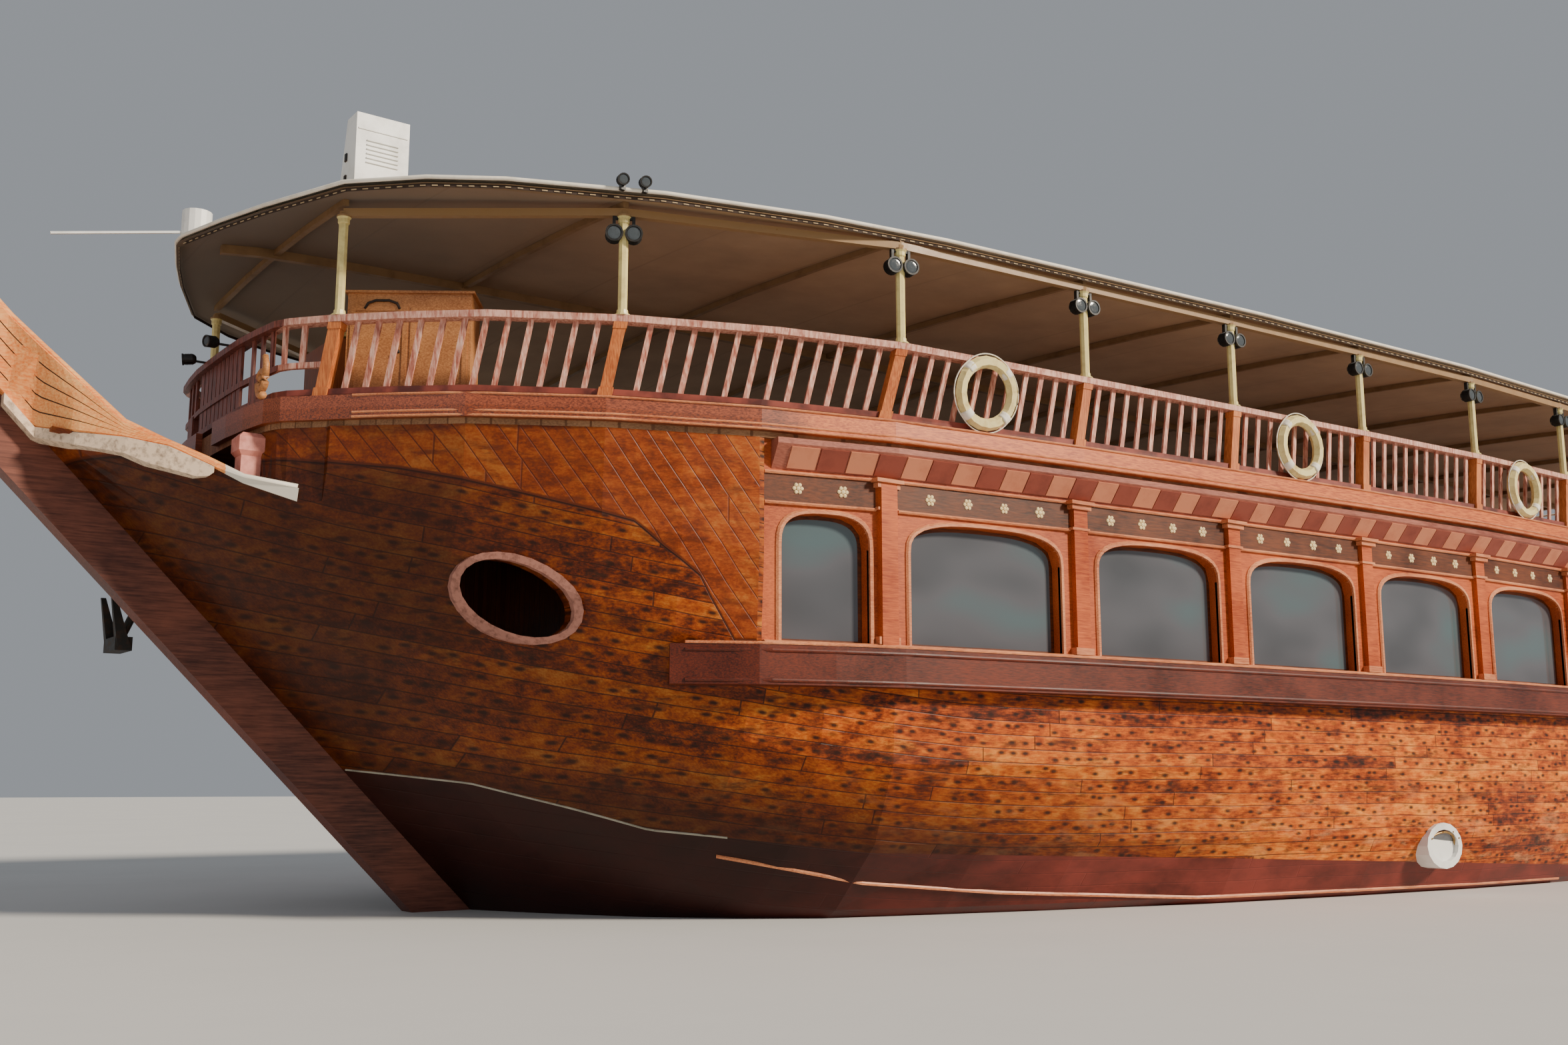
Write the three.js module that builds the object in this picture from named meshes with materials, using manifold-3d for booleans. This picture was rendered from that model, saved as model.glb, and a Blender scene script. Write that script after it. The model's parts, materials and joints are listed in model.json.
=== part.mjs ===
// A wooden passenger dhow afloat: planked hull, glazed saloon, railed upper deck, canopy.
// Millimetres. +X is to the bow, +Y to port and +Z up.
// The origin is on the waterline and the centreline, amidships.

import * as THREE from 'three';
import { mergeVertices } from 'three/addons/utils/BufferGeometryUtils.js';
import Module from 'manifold-3d';

const wasm = await Module();
wasm.setup();

// Heights above the water
const keelBottom = -2000;
const garboard = -1450;
const mainDeck = 2450;
const foredeck = 4200;
const deckUnderside = 4950;
const deckTop = 5200;
const railTop = 6100;
const frameTop = 7240;

// Stem: a straight timber raked at 45 degrees, whose inner edge cuts the water here
const rabbetX = 10100;
const stemDepth = 700;
const stemHalf = 150;
const stemHeadX = 17400;
const forefootBlend = 350;

// Stern: a flat transom that leans aft as it rises
const transomFoot = -16500;
const transomRake = 0.34;
const runStart = -9500;
const runLength = 6500;
const runRise = 1750;

// Forward end of the space inside the bow, and of the bulkhead under the upper deck
const wellAft = 12300;
const wellFore = 12750;

// The bow flares between these stations
const flareFrom = 7500;
const flareTo = 10500;

// Saloon
const saloonFront = 8950;
const saloonAft = -15430;
const wallInset = 60;
const wallThick = 120;
const seat = 0.3;

// Half-breadth of the hull at the upper deck, and how full its section is (2.6 is a flared V)
// columns: x, halfBreadth, fullness
const hullPlan = [
  [-18700, 3960, 1.9],
  [-17300, 4190, 2.0],
  [-15600, 4480, 2.4],
  [-13000, 4790, 3.2],
  [-10300, 5080, 4.3],
  [-7800, 5260, 4.8],
  [-5200, 5360, 5.1],
  [-2700, 5400, 5.2],
  [-100, 5300, 5.1],
  [2400, 5150, 4.8],
  [4900, 4960, 3.9],
  [7500, 4690, 3.0],
  [9000, 4350, 2.9],
  [10500, 3790, 2.9],
  [11700, 3120, 2.7],
  [12600, 2340, 2.6],
  [13300, 1830, 2.6],
  [14000, 1330, 2.6],
  [14700, 820, 2.6],
  [15050, 560, 2.6],
];

// Pilasters between the saloon's windows, from the bow aft
const bayX = [7540, 4920, 2410, -130, -2680, -5230, -7780, -10330, -12880, -15430];

// Posts of the rail, columns: foot x, and how far aft and outward the post leans over its height
const railPosts = [
  [12840, 90, 170],
  [10525, 110, 175],
  [7605, 145, 190],
  [4910, 140, 70],
  [2355, 100, 30],
  [-205, 100, 0],
  [-2775, 130, 0],
  [-5340, 130, 0],
  [-7900, 130, 0],
  [-10460, 130, 0],
  [-13020, 130, 0],
  [-15460, 100, 0],
];
const postX = railPosts.map((row) => row[0]);

// Edge of the upper deck forward of the second post, columns: x, halfBreadth
const deckNose = [
  [11700, 3120],
  [12350, 2560],
  [12830, 2080],
  [13090, 1830],
  [13180, 1650],
  [13240, 1200],
  [13280, 750],
  [13290, 300],
];

// Edge of the canopy, columns: x, halfBreadth
const canopyPlan = [
  [13760, 120],
  [13560, 850],
  [13330, 1550],
  [12890, 2660],
  [12280, 3270],
  [11620, 3690],
  [10130, 4300],
  [8420, 4730],
  [6900, 4950],
  [5150, 5080],
  [1800, 5290],
  [-2650, 5440],
  [-7800, 5330],
  [-11900, 4990],
  [-15800, 4520],
];

// Solids and booleans

function solid(geometry) {
  const bare = geometry.index ? geometry.toNonIndexed() : geometry.clone();
  bare.deleteAttribute('normal');
  bare.deleteAttribute('uv');
  const merged = mergeVertices(bare, 0.01);
  const mesh = new wasm.Mesh({
    numProp: 3,
    vertProperties: new Float32Array(merged.attributes.position.array),
    triVerts: new Uint32Array(merged.index.array),
  });
  return new wasm.Manifold(mesh);
}

function surfaceOf(body) {
  const mesh = body.getMesh();
  const geometry = new THREE.BufferGeometry();
  geometry.setAttribute('position', new THREE.BufferAttribute(mesh.vertProperties, 3));
  geometry.setIndex(new THREE.BufferAttribute(mesh.triVerts, 1));
  return geometry;
}

function joined(geometries) {
  return surfaceOf(geometries.map(solid).reduce((all, next) => all.add(next)));
}

function cut(geometry, tools) {
  return surfaceOf(tools.map(solid).reduce((rest, tool) => rest.subtract(tool), solid(geometry)));
}

function common(a, b) {
  return surfaceOf(solid(a).intersect(solid(b)));
}

// The starboard twin of a port piece
function mirrored(geometry) {
  const twin = geometry.clone();
  twin.scale(1, -1, 1);
  const index = twin.index.array;
  for (let i = 0; i < index.length; i += 3) {
    [index[i + 1], index[i + 2]] = [index[i + 2], index[i + 1]];
  }
  return twin;
}

// A body through rings of equal length, each a closed loop of points
// With twins, the second half of each ring mirrors the first, and so do its triangles
function loft(rings, twins = false) {
  const count = rings[0].length;
  const positions = rings.flat().flat();
  const triangles = [];
  for (let r = 0; r + 1 < rings.length; r += 1) {
    for (let k = 0; k < count; k += 1) {
      const a = r * count + k;
      const b = r * count + (k + 1) % count;
      if (twins && k >= count / 2) {
        triangles.push(a, b, b + count, a, b + count, a + count);
      } else {
        triangles.push(a, b, a + count, b, b + count, a + count);
      }
    }
  }
  const first = capOf(rings[0]);
  const last = capOf(rings[rings.length - 1]);
  const start = (rings.length - 1) * count;
  for (const [a, b, c] of first) {
    triangles.push(a, c, b);
  }
  for (const [a, b, c] of last) {
    triangles.push(start + a, start + b, start + c);
  }
  const geometry = new THREE.BufferGeometry();
  geometry.setAttribute('position', new THREE.Float32BufferAttribute(positions, 3));
  geometry.setIndex(triangles);
  return facingOut(geometry);
}

// Triangles that fill a planar ring, in the ring's own turning sense
function capOf(ring) {
  const points = ring.map((p) => new THREE.Vector3(...p));
  const normal = new THREE.Vector3();
  points.forEach((p, i) => {
    normal.add(p.clone().cross(points[(i + 1) % points.length]));
  });
  normal.normalize();
  const across = points[1].clone().sub(points[0]).normalize();
  const up = normal.clone().cross(across);
  const flat = points.map((p) => new THREE.Vector2(p.dot(across), p.dot(up)));
  return THREE.ShapeUtils.triangulateShape(flat, []);
}

function facingOut(geometry) {
  const p = geometry.attributes.position;
  const index = geometry.index.array;
  const [a, b, c] = [new THREE.Vector3(), new THREE.Vector3(), new THREE.Vector3()];
  let volume = 0;
  for (let i = 0; i < index.length; i += 3) {
    a.fromBufferAttribute(p, index[i]);
    b.fromBufferAttribute(p, index[i + 1]);
    c.fromBufferAttribute(p, index[i + 2]);
    volume += a.dot(b.clone().cross(c));
  }
  if (volume < 0) {
    for (let i = 0; i < index.length; i += 3) {
      [index[i + 1], index[i + 2]] = [index[i + 2], index[i + 1]];
    }
  }
  return geometry;
}

function block(x, y, z) {
  const geometry = new THREE.BoxGeometry(x[1] - x[0], y[1] - y[0], z[1] - z[0]);
  geometry.translate((x[0] + x[1]) / 2, (y[0] + y[1]) / 2, (z[0] + z[1]) / 2);
  return geometry;
}

// A flat outline of [x, z] points, made solid from y[0] to y[1]
function board(outline, y) {
  const shape = new THREE.Shape(outline.map(([px, pz]) => new THREE.Vector2(px, pz)));
  const geometry = new THREE.ExtrudeGeometry(shape, { depth: y[1] - y[0], bevelEnabled: false });
  geometry.rotateX(Math.PI / 2);
  geometry.translate(0, y[1], 0);
  return geometry;
}

// A round bar between two points
function bar(from, to, radius, sides = 12) {
  const a = new THREE.Vector3(...from);
  const b = new THREE.Vector3(...to);
  const along = b.clone().sub(a);
  const geometry = new THREE.CylinderGeometry(radius, radius, along.length(), sides);
  const turn = new THREE.Quaternion()
    .setFromUnitVectors(new THREE.Vector3(0, 1, 0), along.clone().normalize());
  geometry.applyQuaternion(turn);
  geometry.translate(...a.add(b).multiplyScalar(0.5).toArray());
  return geometry;
}

// A ring lying in the plane square to its axis
function torus(centre, axis, radius, tube, round = 24, sides = 8) {
  const geometry = new THREE.TorusGeometry(radius, tube, sides, round);
  const turn = new THREE.Quaternion()
    .setFromUnitVectors(new THREE.Vector3(0, 0, 1), new THREE.Vector3(...axis).normalize());
  geometry.applyQuaternion(turn);
  geometry.translate(...centre);
  return geometry;
}

// Form of the hull

function column(table, x, at) {
  const rows = [...table].sort((a, b) => a[0] - b[0]);
  const last = rows.length - 1;
  const above = rows.findIndex((row) => row[0] >= x);
  const i = above < 0 ? last : Math.max(above, 1);
  const [low, high] = [rows[i - 1], rows[i]];
  const share = (x - low[0]) / (high[0] - low[0]);
  return low[at] + share * (high[at] - low[at]);
}

const breadth = (x) => column(hullPlan, x, 1);

function rabbet(x) {
  if (x < runStart) {
    return garboard + runRise * ((runStart - x) / runLength) ** 1.5;
  }
  const bend = (x - rabbetX - garboard) / forefootBlend;
  const rise = bend > 40 ? bend : Math.log1p(Math.exp(bend));
  return garboard + forefootBlend * rise;
}

// The sides stand upright above this height, except at the bow, where they flare to the deck
function upright(x) {
  const share = Math.min(Math.max((x - flareFrom) / (flareTo - flareFrom), 0), 1);
  return 2500 + share * (deckUnderside - 2500);
}

function sectionHalf(x, z) {
  const low = rabbet(x);
  if (z <= low) {
    return stemHalf;
  }
  const t = Math.min((z - low) / (upright(x) - low), 1);
  return stemHalf + (breadth(x) - stemHalf) * (1 - (1 - t) ** column(hullPlan, x, 2));
}

const levels = [0, 0.03, 0.08, 0.15, 0.24, 0.35, 0.48, 0.62, 0.8, 1];

function stations() {
  const all = hullPlan.map((row) => row[0]).filter((x) => x < 15000);
  const extra = [-16400, -14300, -11600, 6200, 8250, 9750, 11100, 12150, 14990];
  return [...all, ...extra].sort((a, b) => a - b);
}

// The whole planked form up to the upper deck, grown or shrunk sideways by an offset
function hullForm(offset = 0) {
  const rings = stations().map((x) => {
    const low = rabbet(x);
    const side = levels.map((share, k) => {
      const z = low + share * (deckUnderside - low);
      const y = Math.max(sectionHalf(x, z) + offset, 4);
      return [x, y, k === 0 ? z - 1.5 * Math.max(offset, 0) : z];
    });
    return [...side, ...side.map(([px, py, pz]) => [px, -py, pz]).reverse()];
  });
  return loft(rings, true);
}

const transomX = (z) => transomFoot - transomRake * z;

function aftOfTransom(forward = 0) {
  const [low, high] = [-4000, 9000];
  return board([
    [transomX(low) + forward, low],
    [transomX(high) + forward, high],
    [-26000, high],
    [-26000, low],
  ], [-8000, 8000]);
}

const planked = cut(hullForm(), [aftOfTransom()]);
const hullClear = hullForm(0.4);

// Plan curve of the ship's side from one x to another, as points with their outward normals
function sidePath(fromX, toX, curve = breadth) {
  const low = Math.min(fromX, toX);
  const high = Math.max(fromX, toX);
  const xs = [low, ...stations().filter((x) => x > low + 150 && x < high - 150), high];
  return withNormals(xs.map((x) => [x, curve(x)]));
}

function withNormals(points) {
  return points.map(([x, y], i) => {
    const before = points[Math.max(i - 1, 0)];
    const after = points[Math.min(i + 1, points.length - 1)];
    const along = new THREE.Vector2(after[0] - before[0], after[1] - before[1]).normalize();
    return { x, y, out: new THREE.Vector2(-along.y, along.x) };
  });
}

// A section of [outward, z] corners carried along a plan path; the shift moves it by height
function sweep(path, section, shift = () => [0, 0]) {
  return loft(path.map(({ x, y, out }) => section.map(([away, z]) => {
    const [aft, outward] = shift(x, z);
    return [x + out.x * away - aft, y + out.y * away + Math.sign(y) * outward, z];
  })));
}

const rect = (y, z) => [[y[0], z[0]], [y[1], z[0]], [y[1], z[1]], [y[0], z[1]]];

// Pieces

const dhow = new THREE.Group();

function add(name, geometry, colour, roughness = 0.6, metalness = 0) {
  const material = new THREE.MeshStandardMaterial({ color: colour, roughness, metalness });
  const mesh = new THREE.Mesh(geometry, material);
  mesh.name = name;
  dhow.add(mesh);
  return mesh;
}

function addPair(name, port, colour, roughness, metalness) {
  const merged = port.index ? port : mergeVertices(port, 0.01);
  add(`${name}_port`, merged, colour, roughness, metalness);
  add(`${name}_starboard`, mirrored(merged), colour, roughness, metalness);
}

const timber = 0xb5561e;
const bottomPaint = 0x5b2622;
const gallery = 0xc5602a;
const plankBrown = 0x8a5a3a;
const helmTimber = 0x7a3f1f;
const pinkPaint = 0xd9a79a;
const cream = 0xefe3ae;
const white = 0xf2f2ee;
const iron = 0x2e2d2c;

// Engine space, open to the saloon floor under a lift-out hatch
const engineRoom = { x: [-10900, -7900], y: [-1200, 1200], floor: -750 };
const engine = { x: [-10600, -8300], y: [-600, 600], tall: 1450 };
const hatchThick = 60;
const hatchLedge = 90;

// Anchor at the starboard bow
const anchorEye = [13500, -700, 3950];
const shankRadius = 45;
const shankFoot = [13850, -1040, 2950];

function addHull() {
  const { x, y, floor } = engineRoom;
  const ledge = (out, z) => block([x[0] - out, x[1] + out], [y[0] - out, y[1] + out], z);
  const socketEnd = anchorEye.map((value, i) => value + 0.001 * (value - shankFoot[i]));
  const tools = [
    block([-20000, wellAft], [-8000, 8000], [mainDeck, 9000]),
    overForedeck(),
    ledge(0, [floor, 9000]),
    ledge(hatchLedge, [mainDeck - hatchThick, 9000]),
    bar(socketEnd, shankFoot, shankRadius + 0.4, 10),
  ];
  add('hull', cut(planked, tools), timber);
  add('engine_hatch', ledge(hatchLedge - seat, [mainDeck - hatchThick + seat, mainDeck]), plankBrown);
  add('engine', block(engine.x, engine.y, [floor + seat, floor + engine.tall]), 0x5f6f62, 0.5, 0.4);
}

// Keel, with the deadwood that carries the stern tube and the shoe under the propeller
const shaftZ = -1120;
const apertureX = -13900;
const shoeTop = -1760;
const postDepth = 300;

function addKeelAndStem() {
  const keelFore = 7600;
  const stemAt = (x) => x - rabbetX - stemDepth;
  const keel = board([
    [keelFore, keelBottom],
    [keelFore, garboard + 200],
    [runStart, garboard + 200],
    [apertureX, rabbet(apertureX) + 250],
    [apertureX, shoeTop],
    [transomX(shoeTop) + seat, shoeTop],
    [transomX(keelBottom) + seat, keelBottom],
  ], [-130, 130]);
  add('keel', cut(keel, [hullClear]), bottomPaint);

  const headRise = 800;
  const stem = board([
    [keelFore + seat, keelBottom],
    [8100, keelBottom],
    [8700, keelBottom + 100],
    [9150, keelBottom + 400],
    [9500, stemAt(9500)],
    [stemHeadX, stemAt(stemHeadX)],
    [stemHeadX - 750, stemAt(stemHeadX) + stemDepth + headRise],
    [15450, 6050],
    [15150, stemAt(15150) + stemDepth + 150],
    [10500, stemAt(10500) + stemDepth + 150],
    [8900, garboard + 300],
    [keelFore + seat, garboard + 200],
  ], [-stemHalf + 1, stemHalf - 1]);
  add('stem_post', cut(stem, [hullClear]), 0x6b4436);

  const postTop = 1500;
  const post = board([
    [transomX(keelBottom) - seat, keelBottom],
    [transomX(postTop) - seat, postTop],
    [transomX(postTop) - postDepth, postTop],
    [transomX(keelBottom) - postDepth, keelBottom],
  ], [-130, 130]);
  add('stern_post', joined([post, ...gudgeons()]), bottomPaint);
}

// Bow planking above the main deck, with a big oval opening each side
const oval = { x: 11110, z: 3240, long: 555, tall: 300, tilt: 0.545, ring: 62 };

function ovalOutline(grow = 0, count = 24) {
  const points = [];
  for (let i = 0; i < count; i += 1) {
    const turn = (2 * Math.PI * i) / count;
    const a = (oval.long + grow) * Math.cos(turn);
    const b = (oval.tall + grow) * Math.sin(turn);
    points.push([
      oval.x + a * Math.cos(oval.tilt) - b * Math.sin(oval.tilt),
      oval.z + a * Math.sin(oval.tilt) + b * Math.cos(oval.tilt),
    ]);
  }
  return points;
}

function addBowShells() {
  const inside = hullForm(-150);
  const region = block([saloonFront, wellAft - seat], [seat, 6000], [mainDeck + seat, deckUnderside - seat]);
  const shell = cut(common(planked, region), [inside, board(ovalOutline(), [600, 6000])]);
  addPair('bow_planking', shell, timber);

  const hole = board(ovalOutline(-10), [500, 6100]);
  const band = cut(board(ovalOutline(oval.ring), [600, 6000]), [hole, hullClear]);
  const ringReach = cut(hullForm(70), [aftOfTransom()]);
  addPair('oval_ring', common(band, ringReach), 0xb08070);
}

// Raised prow sides standing on the sheer of the foredeck, with the pale guard strake below
// columns: x, sheerZ, topHalf, topZ
const prowSide = [
  [12950, 4200, 1990, 4330],
  [13400, 4380, 1700, 4430],
  [13700, 4560, 1480, 4610],
  [14050, 4740, 1240, 4790],
  [14400, 4830, 1000, 4990],
  [14800, 4890, 720, 5430],
  [15100, 4980, 530, 5750],
  [15400, 5290, 330, 6080],
  [16200, 6050, 270, 6900],
  [16650, 6500, 260, 7350],
];
const prowThick = 90;

// How far the guard strake hangs below the sheer, columns: x, depth
const strakeDepth = [
  [13660, 60],
  [13700, 120],
  [13800, 180],
  [14050, 230],
  [14200, 220],
  [14400, 170],
  [14800, 130],
  [15100, 110],
  [15400, 110],
];
const foredeckRows = 7;

// The foredeck's surface in side view: it follows the sheer up to the stem
const sheerLine = prowSide.slice(0, foredeckRows).map((row) => row.slice(0, 2));
const foredeckLine = [[wellFore, foredeck], ...sheerLine];
const foredeckEnd = foredeckLine[foredeckRows];

function overForedeck() {
  return board([...foredeckLine, [20000, foredeckEnd[1]], [20000, 9000], [wellFore, 9000]], [-8000, 8000]);
}

// What a fitting on the foredeck is cut by, so that it stands just clear of the planks
function foredeckClear() {
  const line = foredeckLine.map(([x, z]) => [x, z + seat]);
  return board([[wellFore, 1000], [foredeckEnd[0], 1000], ...line.reverse()], [-8000, 8000]);
}

function addProw() {
  const narrow = stemHalf + prowThick + 4;
  const rings = prowSide.map(([x, sheer, topHalf, top]) => {
    const foot = Math.max(sectionHalf(x, sheer), narrow);
    const head = Math.max(topHalf, narrow);
    const low = sheer + seat;
    return [
      [x, foot - prowThick, low],
      [x, foot, low],
      [x, head, top],
      [x, head - prowThick, top],
    ];
  });
  addPair('prow_bulwark', loft(rings), 0xe8975a);

  const strake = loft(strakeDepth.map(([x, depth]) => {
    const sheer = column(prowSide, x, 1);
    const y = Math.max(sectionHalf(x, sheer - 60), narrow);
    return rect([y - 200, y + 70], [sheer - depth, sheer - 5]).map(([across, z]) => [x, across, z]);
  }));
  const stemRoom = block([14500, 16000], [-stemHalf, stemHalf], [3000, 6000]);
  addPair('guard_strake', cut(strake, [hullClear, stemRoom]), 0xb8a890);
}

function addWales() {
  const wale = { x: [-16900, 9750], z: [2400, 2800], proud: 220 };
  const path = sidePath(wale.x[0], wale.x[1], (x) => sectionHalf(x, 2600));
  const band = sweep(path, rect([-300, wale.proud], wale.z));
  const wallRoom = sweep(
    sidePath(saloonAft - 20, saloonFront),
    rect([-900, seat - wallInset], [mainDeck - 1, deckUnderside]),
  );
  addPair('wale', cut(band, [hullClear, wallRoom]), 0x8a3a22);
}

// Saloon walls with one arched window in each bay
const sill = 2850;
const spring = 3850;
const crown = 4200;

function windowOutline(centre, width, grow = 0) {
  const half = width / 2 + grow;
  const points = [[centre - half, sill - grow], [centre + half, sill - grow]];
  const arcSteps = 8;
  for (let i = 0; i <= arcSteps; i += 1) {
    const turn = (Math.PI * i) / arcSteps;
    points.push([
      centre + half * Math.sign(Math.cos(turn)) * Math.abs(Math.cos(turn)) ** 0.7,
      spring + (crown - spring + grow) * Math.sin(turn) ** 0.7,
    ]);
  }
  return points;
}

// columns: centre, width
function windowRows() {
  const edges = [saloonFront, ...bayX];
  return edges.slice(1).map((aft, i) => {
    const bay = edges[i] - aft;
    return [aft + bay / 2, bay - (i === 0 ? 420 : 560)];
  });
}

function addSaloon() {
  const aftEnd = saloonAft + wallThick + seat;
  const foreEnd = saloonFront - seat;
  const path = sidePath(aftEnd, foreEnd);
  const wallZ = [mainDeck + seat, deckUnderside - seat];
  const body = sweep(path, rect([-wallInset - wallThick, -wallInset], wallZ));
  const pilasters = bayX.slice(0, -1).map((x) => {
    const y = breadth(x) - wallInset;
    return block([x - 110, x + 110], [y - 60, y + 55], [2810, 4600]);
  });
  const openings = windowRows().map(([centre, width]) => board(windowOutline(centre, width), [3500, 6500]));
  addPair('saloon_wall', cut(joined([body, ...pilasters]), openings), gallery);

  const paneOuter = -wallInset - wallThick - seat;
  addPair('saloon_glass', sweep(path, rect([paneOuter - 12, paneOuter], [2760, 4290])), 0x6b6b70, 0.1);

  const bulkheadHalf = breadth(saloonFront) - wallInset - wallThick - 25;
  add('forward_bulkhead', block(
    [saloonFront - wallThick - 1, saloonFront - 1],
    [-bulkheadHalf, bulkheadHalf],
    [mainDeck + seat, deckUnderside - seat],
  ), gallery);
}

// Aft wall with its double door, whose leaves turn on knuckle hinges outside the wall
const door = { half: 800, top: 4500, thick: 50, gap: 6 };
const hinge = { away: 26, knuckle: 19, pin: 8, heights: [2800, 4150], long: 60, gap: 2 };

function hingeBar(z, radius, sides = 8) {
  const [x, y] = [saloonAft - hinge.away, door.half + door.gap];
  return bar([x, y, z[0]], [x, y, z[1]], radius, sides);
}

function hingeOnWall(height) {
  const { long, knuckle, pin } = hinge;
  const [x, y] = [saloonAft - hinge.away, door.half + door.gap];
  const ends = [[-1.5, -0.5], [0.5, 1.5]].map((end) => end.map((share) => height + share * long));
  const plates = ends.map((z) => block([x, saloonAft + 5], [y - 5, y + 60], z));
  const knuckles = ends.map((z) => hingeBar(z, knuckle));
  return joined([...plates, ...knuckles, hingeBar([height - 1.5 * long, height + 1.5 * long], pin)]);
}

function hingeOnLeaf(height) {
  const { long, gap, knuckle } = hinge;
  const y = door.half + door.gap;
  const z = [height - 0.5 * long + seat, height + 0.5 * long - gap];
  const x = saloonAft - hinge.away;
  const strap = block([x - 10, saloonAft + 5], [y - 200, y - 6], z);
  const reach = block([x - 10, x + 10], [y - 60, y], z);
  const bore = hingeBar([height - 2 * long, height + 2 * long], hinge.pin + 3);
  return cut(joined([strap, reach, hingeBar(z, knuckle)]), [bore]);
}

function addAftWall() {
  const half = breadth(saloonAft) - wallInset;
  const wallX = [saloonAft, saloonAft + wallThick];
  const wall = block(wallX, [-half, half], [mainDeck + seat, deckUnderside - seat]);
  const way = block([saloonAft - 500, saloonAft + 500], [-door.half, door.half], [mainDeck - 100, door.top]);
  const onWall = hinge.heights.map(hingeOnWall);
  const onWallTwins = onWall.map((piece) => mirrored(piece));
  add('aft_wall', joined([cut(wall, [way]), ...onWall, ...onWallTwins]), gallery);
  const leafX = [saloonAft - 2, saloonAft + door.thick - 2];
  const leafZ = [mainDeck + 12, door.top - 10];
  const panel = block(leafX, [door.gap / 2, door.half - door.gap], leafZ);
  addPair('door', joined([panel, ...hinge.heights.map(hingeOnLeaf)]), helmTimber);
}

function addSternBulwark() {
  const top = 3400;
  const thick = 110;
  const region = block([-19500, saloonAft - 150], [-6000, 6000], [mainDeck + seat, top]);
  const inside = cut(hullForm(-thick), [aftOfTransom(thick)]);
  add('stern_bulwark', cut(common(planked, region), [inside]), timber);
}

// Upper deck, its fascia board and the chequered cornice over the windows

const deckAft = -15650;

function deckEdge() {
  const aft = sidePath(deckAft, deckNose[0][0]).map(({ x, y }) => [x, y]);
  return [...aft, ...deckNose.slice(1)];
}

function outlineBody(points, z) {
  const around = [...points, ...points.map(([x, y]) => [x, -y]).reverse()];
  const shape = new THREE.Shape(around.map(([x, y]) => new THREE.Vector2(x, y)));
  const geometry = new THREE.ExtrudeGeometry(shape, { depth: z[1] - z[0], bevelEnabled: false });
  geometry.translate(0, 0, z[0]);
  return geometry;
}

function addUpperDeck() {
  add('upper_deck', outlineBody(deckEdge(), [deckUnderside, deckTop]), 0x9c7350, 0.8);
  const path = withNormals(deckEdge());
  addPair('fascia', sweep(path, rect([seat, 70], [deckUnderside + 60, deckTop + 60])), 0xe0793f);
  const corniceSection = [
    [seat - wallInset, 4640],
    [130, 4880],
    [130, 4940],
    [seat - wallInset, 4940],
  ];
  const cornicePath = sidePath(saloonAft + 200, saloonFront - 100);
  addPair('cornice', sweep(cornicePath, corniceSection), 0x8a4a3c);
}

// Rails: they lean outward at the bow and a little aft, but round the nose they stand upright

const noseX = 13060;
const railLeans = [...railPosts, [noseX, 0, 0]];

function railLean(x, z) {
  const share = (z - deckTop) / (railTop - deckTop);
  const at = Math.min(x, noseX);
  return [share * column(railLeans, at, 1), share * column(railLeans, at, 2)];
}

const railInset = 75;
const railStop = deckTop + seat;
const capHalf = 75;

function nearest(x) {
  const edge = deckEdge();
  const y = column(edge, x, 1);
  const before = column(edge, x - 60, 1);
  const after = column(edge, x + 60, 1);
  const along = new THREE.Vector2(120, after - before).normalize();
  return { x, y, out: new THREE.Vector2(-along.y, along.x) };
}

// The deck's edge with the posts' places among its points
function railLine() {
  const edge = deckEdge();
  const clear = edge.filter(([x]) => postX.every((post) => Math.abs(x - post) > 150));
  const posts = postX.map((x) => [x, column(edge, x, 1)]);
  return [...clear, ...posts].sort((a, b) => a[0] - b[0]);
}

const railPath = withNormals(railLine());

function railPoint(x, z, away = 0) {
  const { y, out } = nearest(x);
  const [aft, outward] = railLean(x, z);
  const reach = away - railInset;
  return [x + out.x * reach - aft, y + out.y * reach + outward, z];
}

// An upright or leaning stick at x, with its half widths along and across the rail
function railStick(x, z, [along, across]) {
  const { out } = nearest(x);
  const ring = (height) => {
    const [cx, cy] = railPoint(x, height);
    return [[-1, -1], [1, -1], [1, 1], [-1, 1]].map(([i, j]) => [
      cx + along * i * out.y + across * j * out.x,
      cy - along * i * out.x + across * j * out.y,
      height,
    ]);
  };
  return loft([ring(z[0]), ring(z[1])]);
}

const railPost = (x) => railStick(x, [railStop, railTop], [55, 55]);

// Places spaced evenly along the deck's edge between two x, the ends left out
function spaced(fromX, toX, pitch) {
  const inner = deckEdge().filter(([x]) => x > fromX && x < toX).map(([x]) => x);
  const line = [fromX, ...inner, toX].map((x) => new THREE.Vector2(x, column(deckEdge(), x, 1)));
  const path = new THREE.Path(line);
  return path.getSpacedPoints(Math.round(path.getLength() / pitch)).slice(1, -1).map((point) => point.x);
}

const footRail = [deckTop + 90, deckTop + 150];
const capRail = [railTop - 70, railTop - 0.5];
const baluster = { pitch: 228, half: [30, 15], into: 30 };
const balusterZ = [footRail[1] - baluster.into, capRail[0] + baluster.into];

function balusterBays(posts) {
  const places = posts.slice(1).flatMap((aft, i) => spaced(aft, posts[i], baluster.pitch));
  return places.map((x) => railStick(x, balusterZ, baluster.half));
}

// The rail round the nose: half-height balusters over a middle rail, and close slats at the front
const nose = {
  railZ: [5580, 5640],
  cornerX: 13275,
  kneeX: 13245,
  slatX: [13190, 13220],
  slatHalf: 62,
  slatPitch: 150,
  slatsTo: 675,
};

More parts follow.
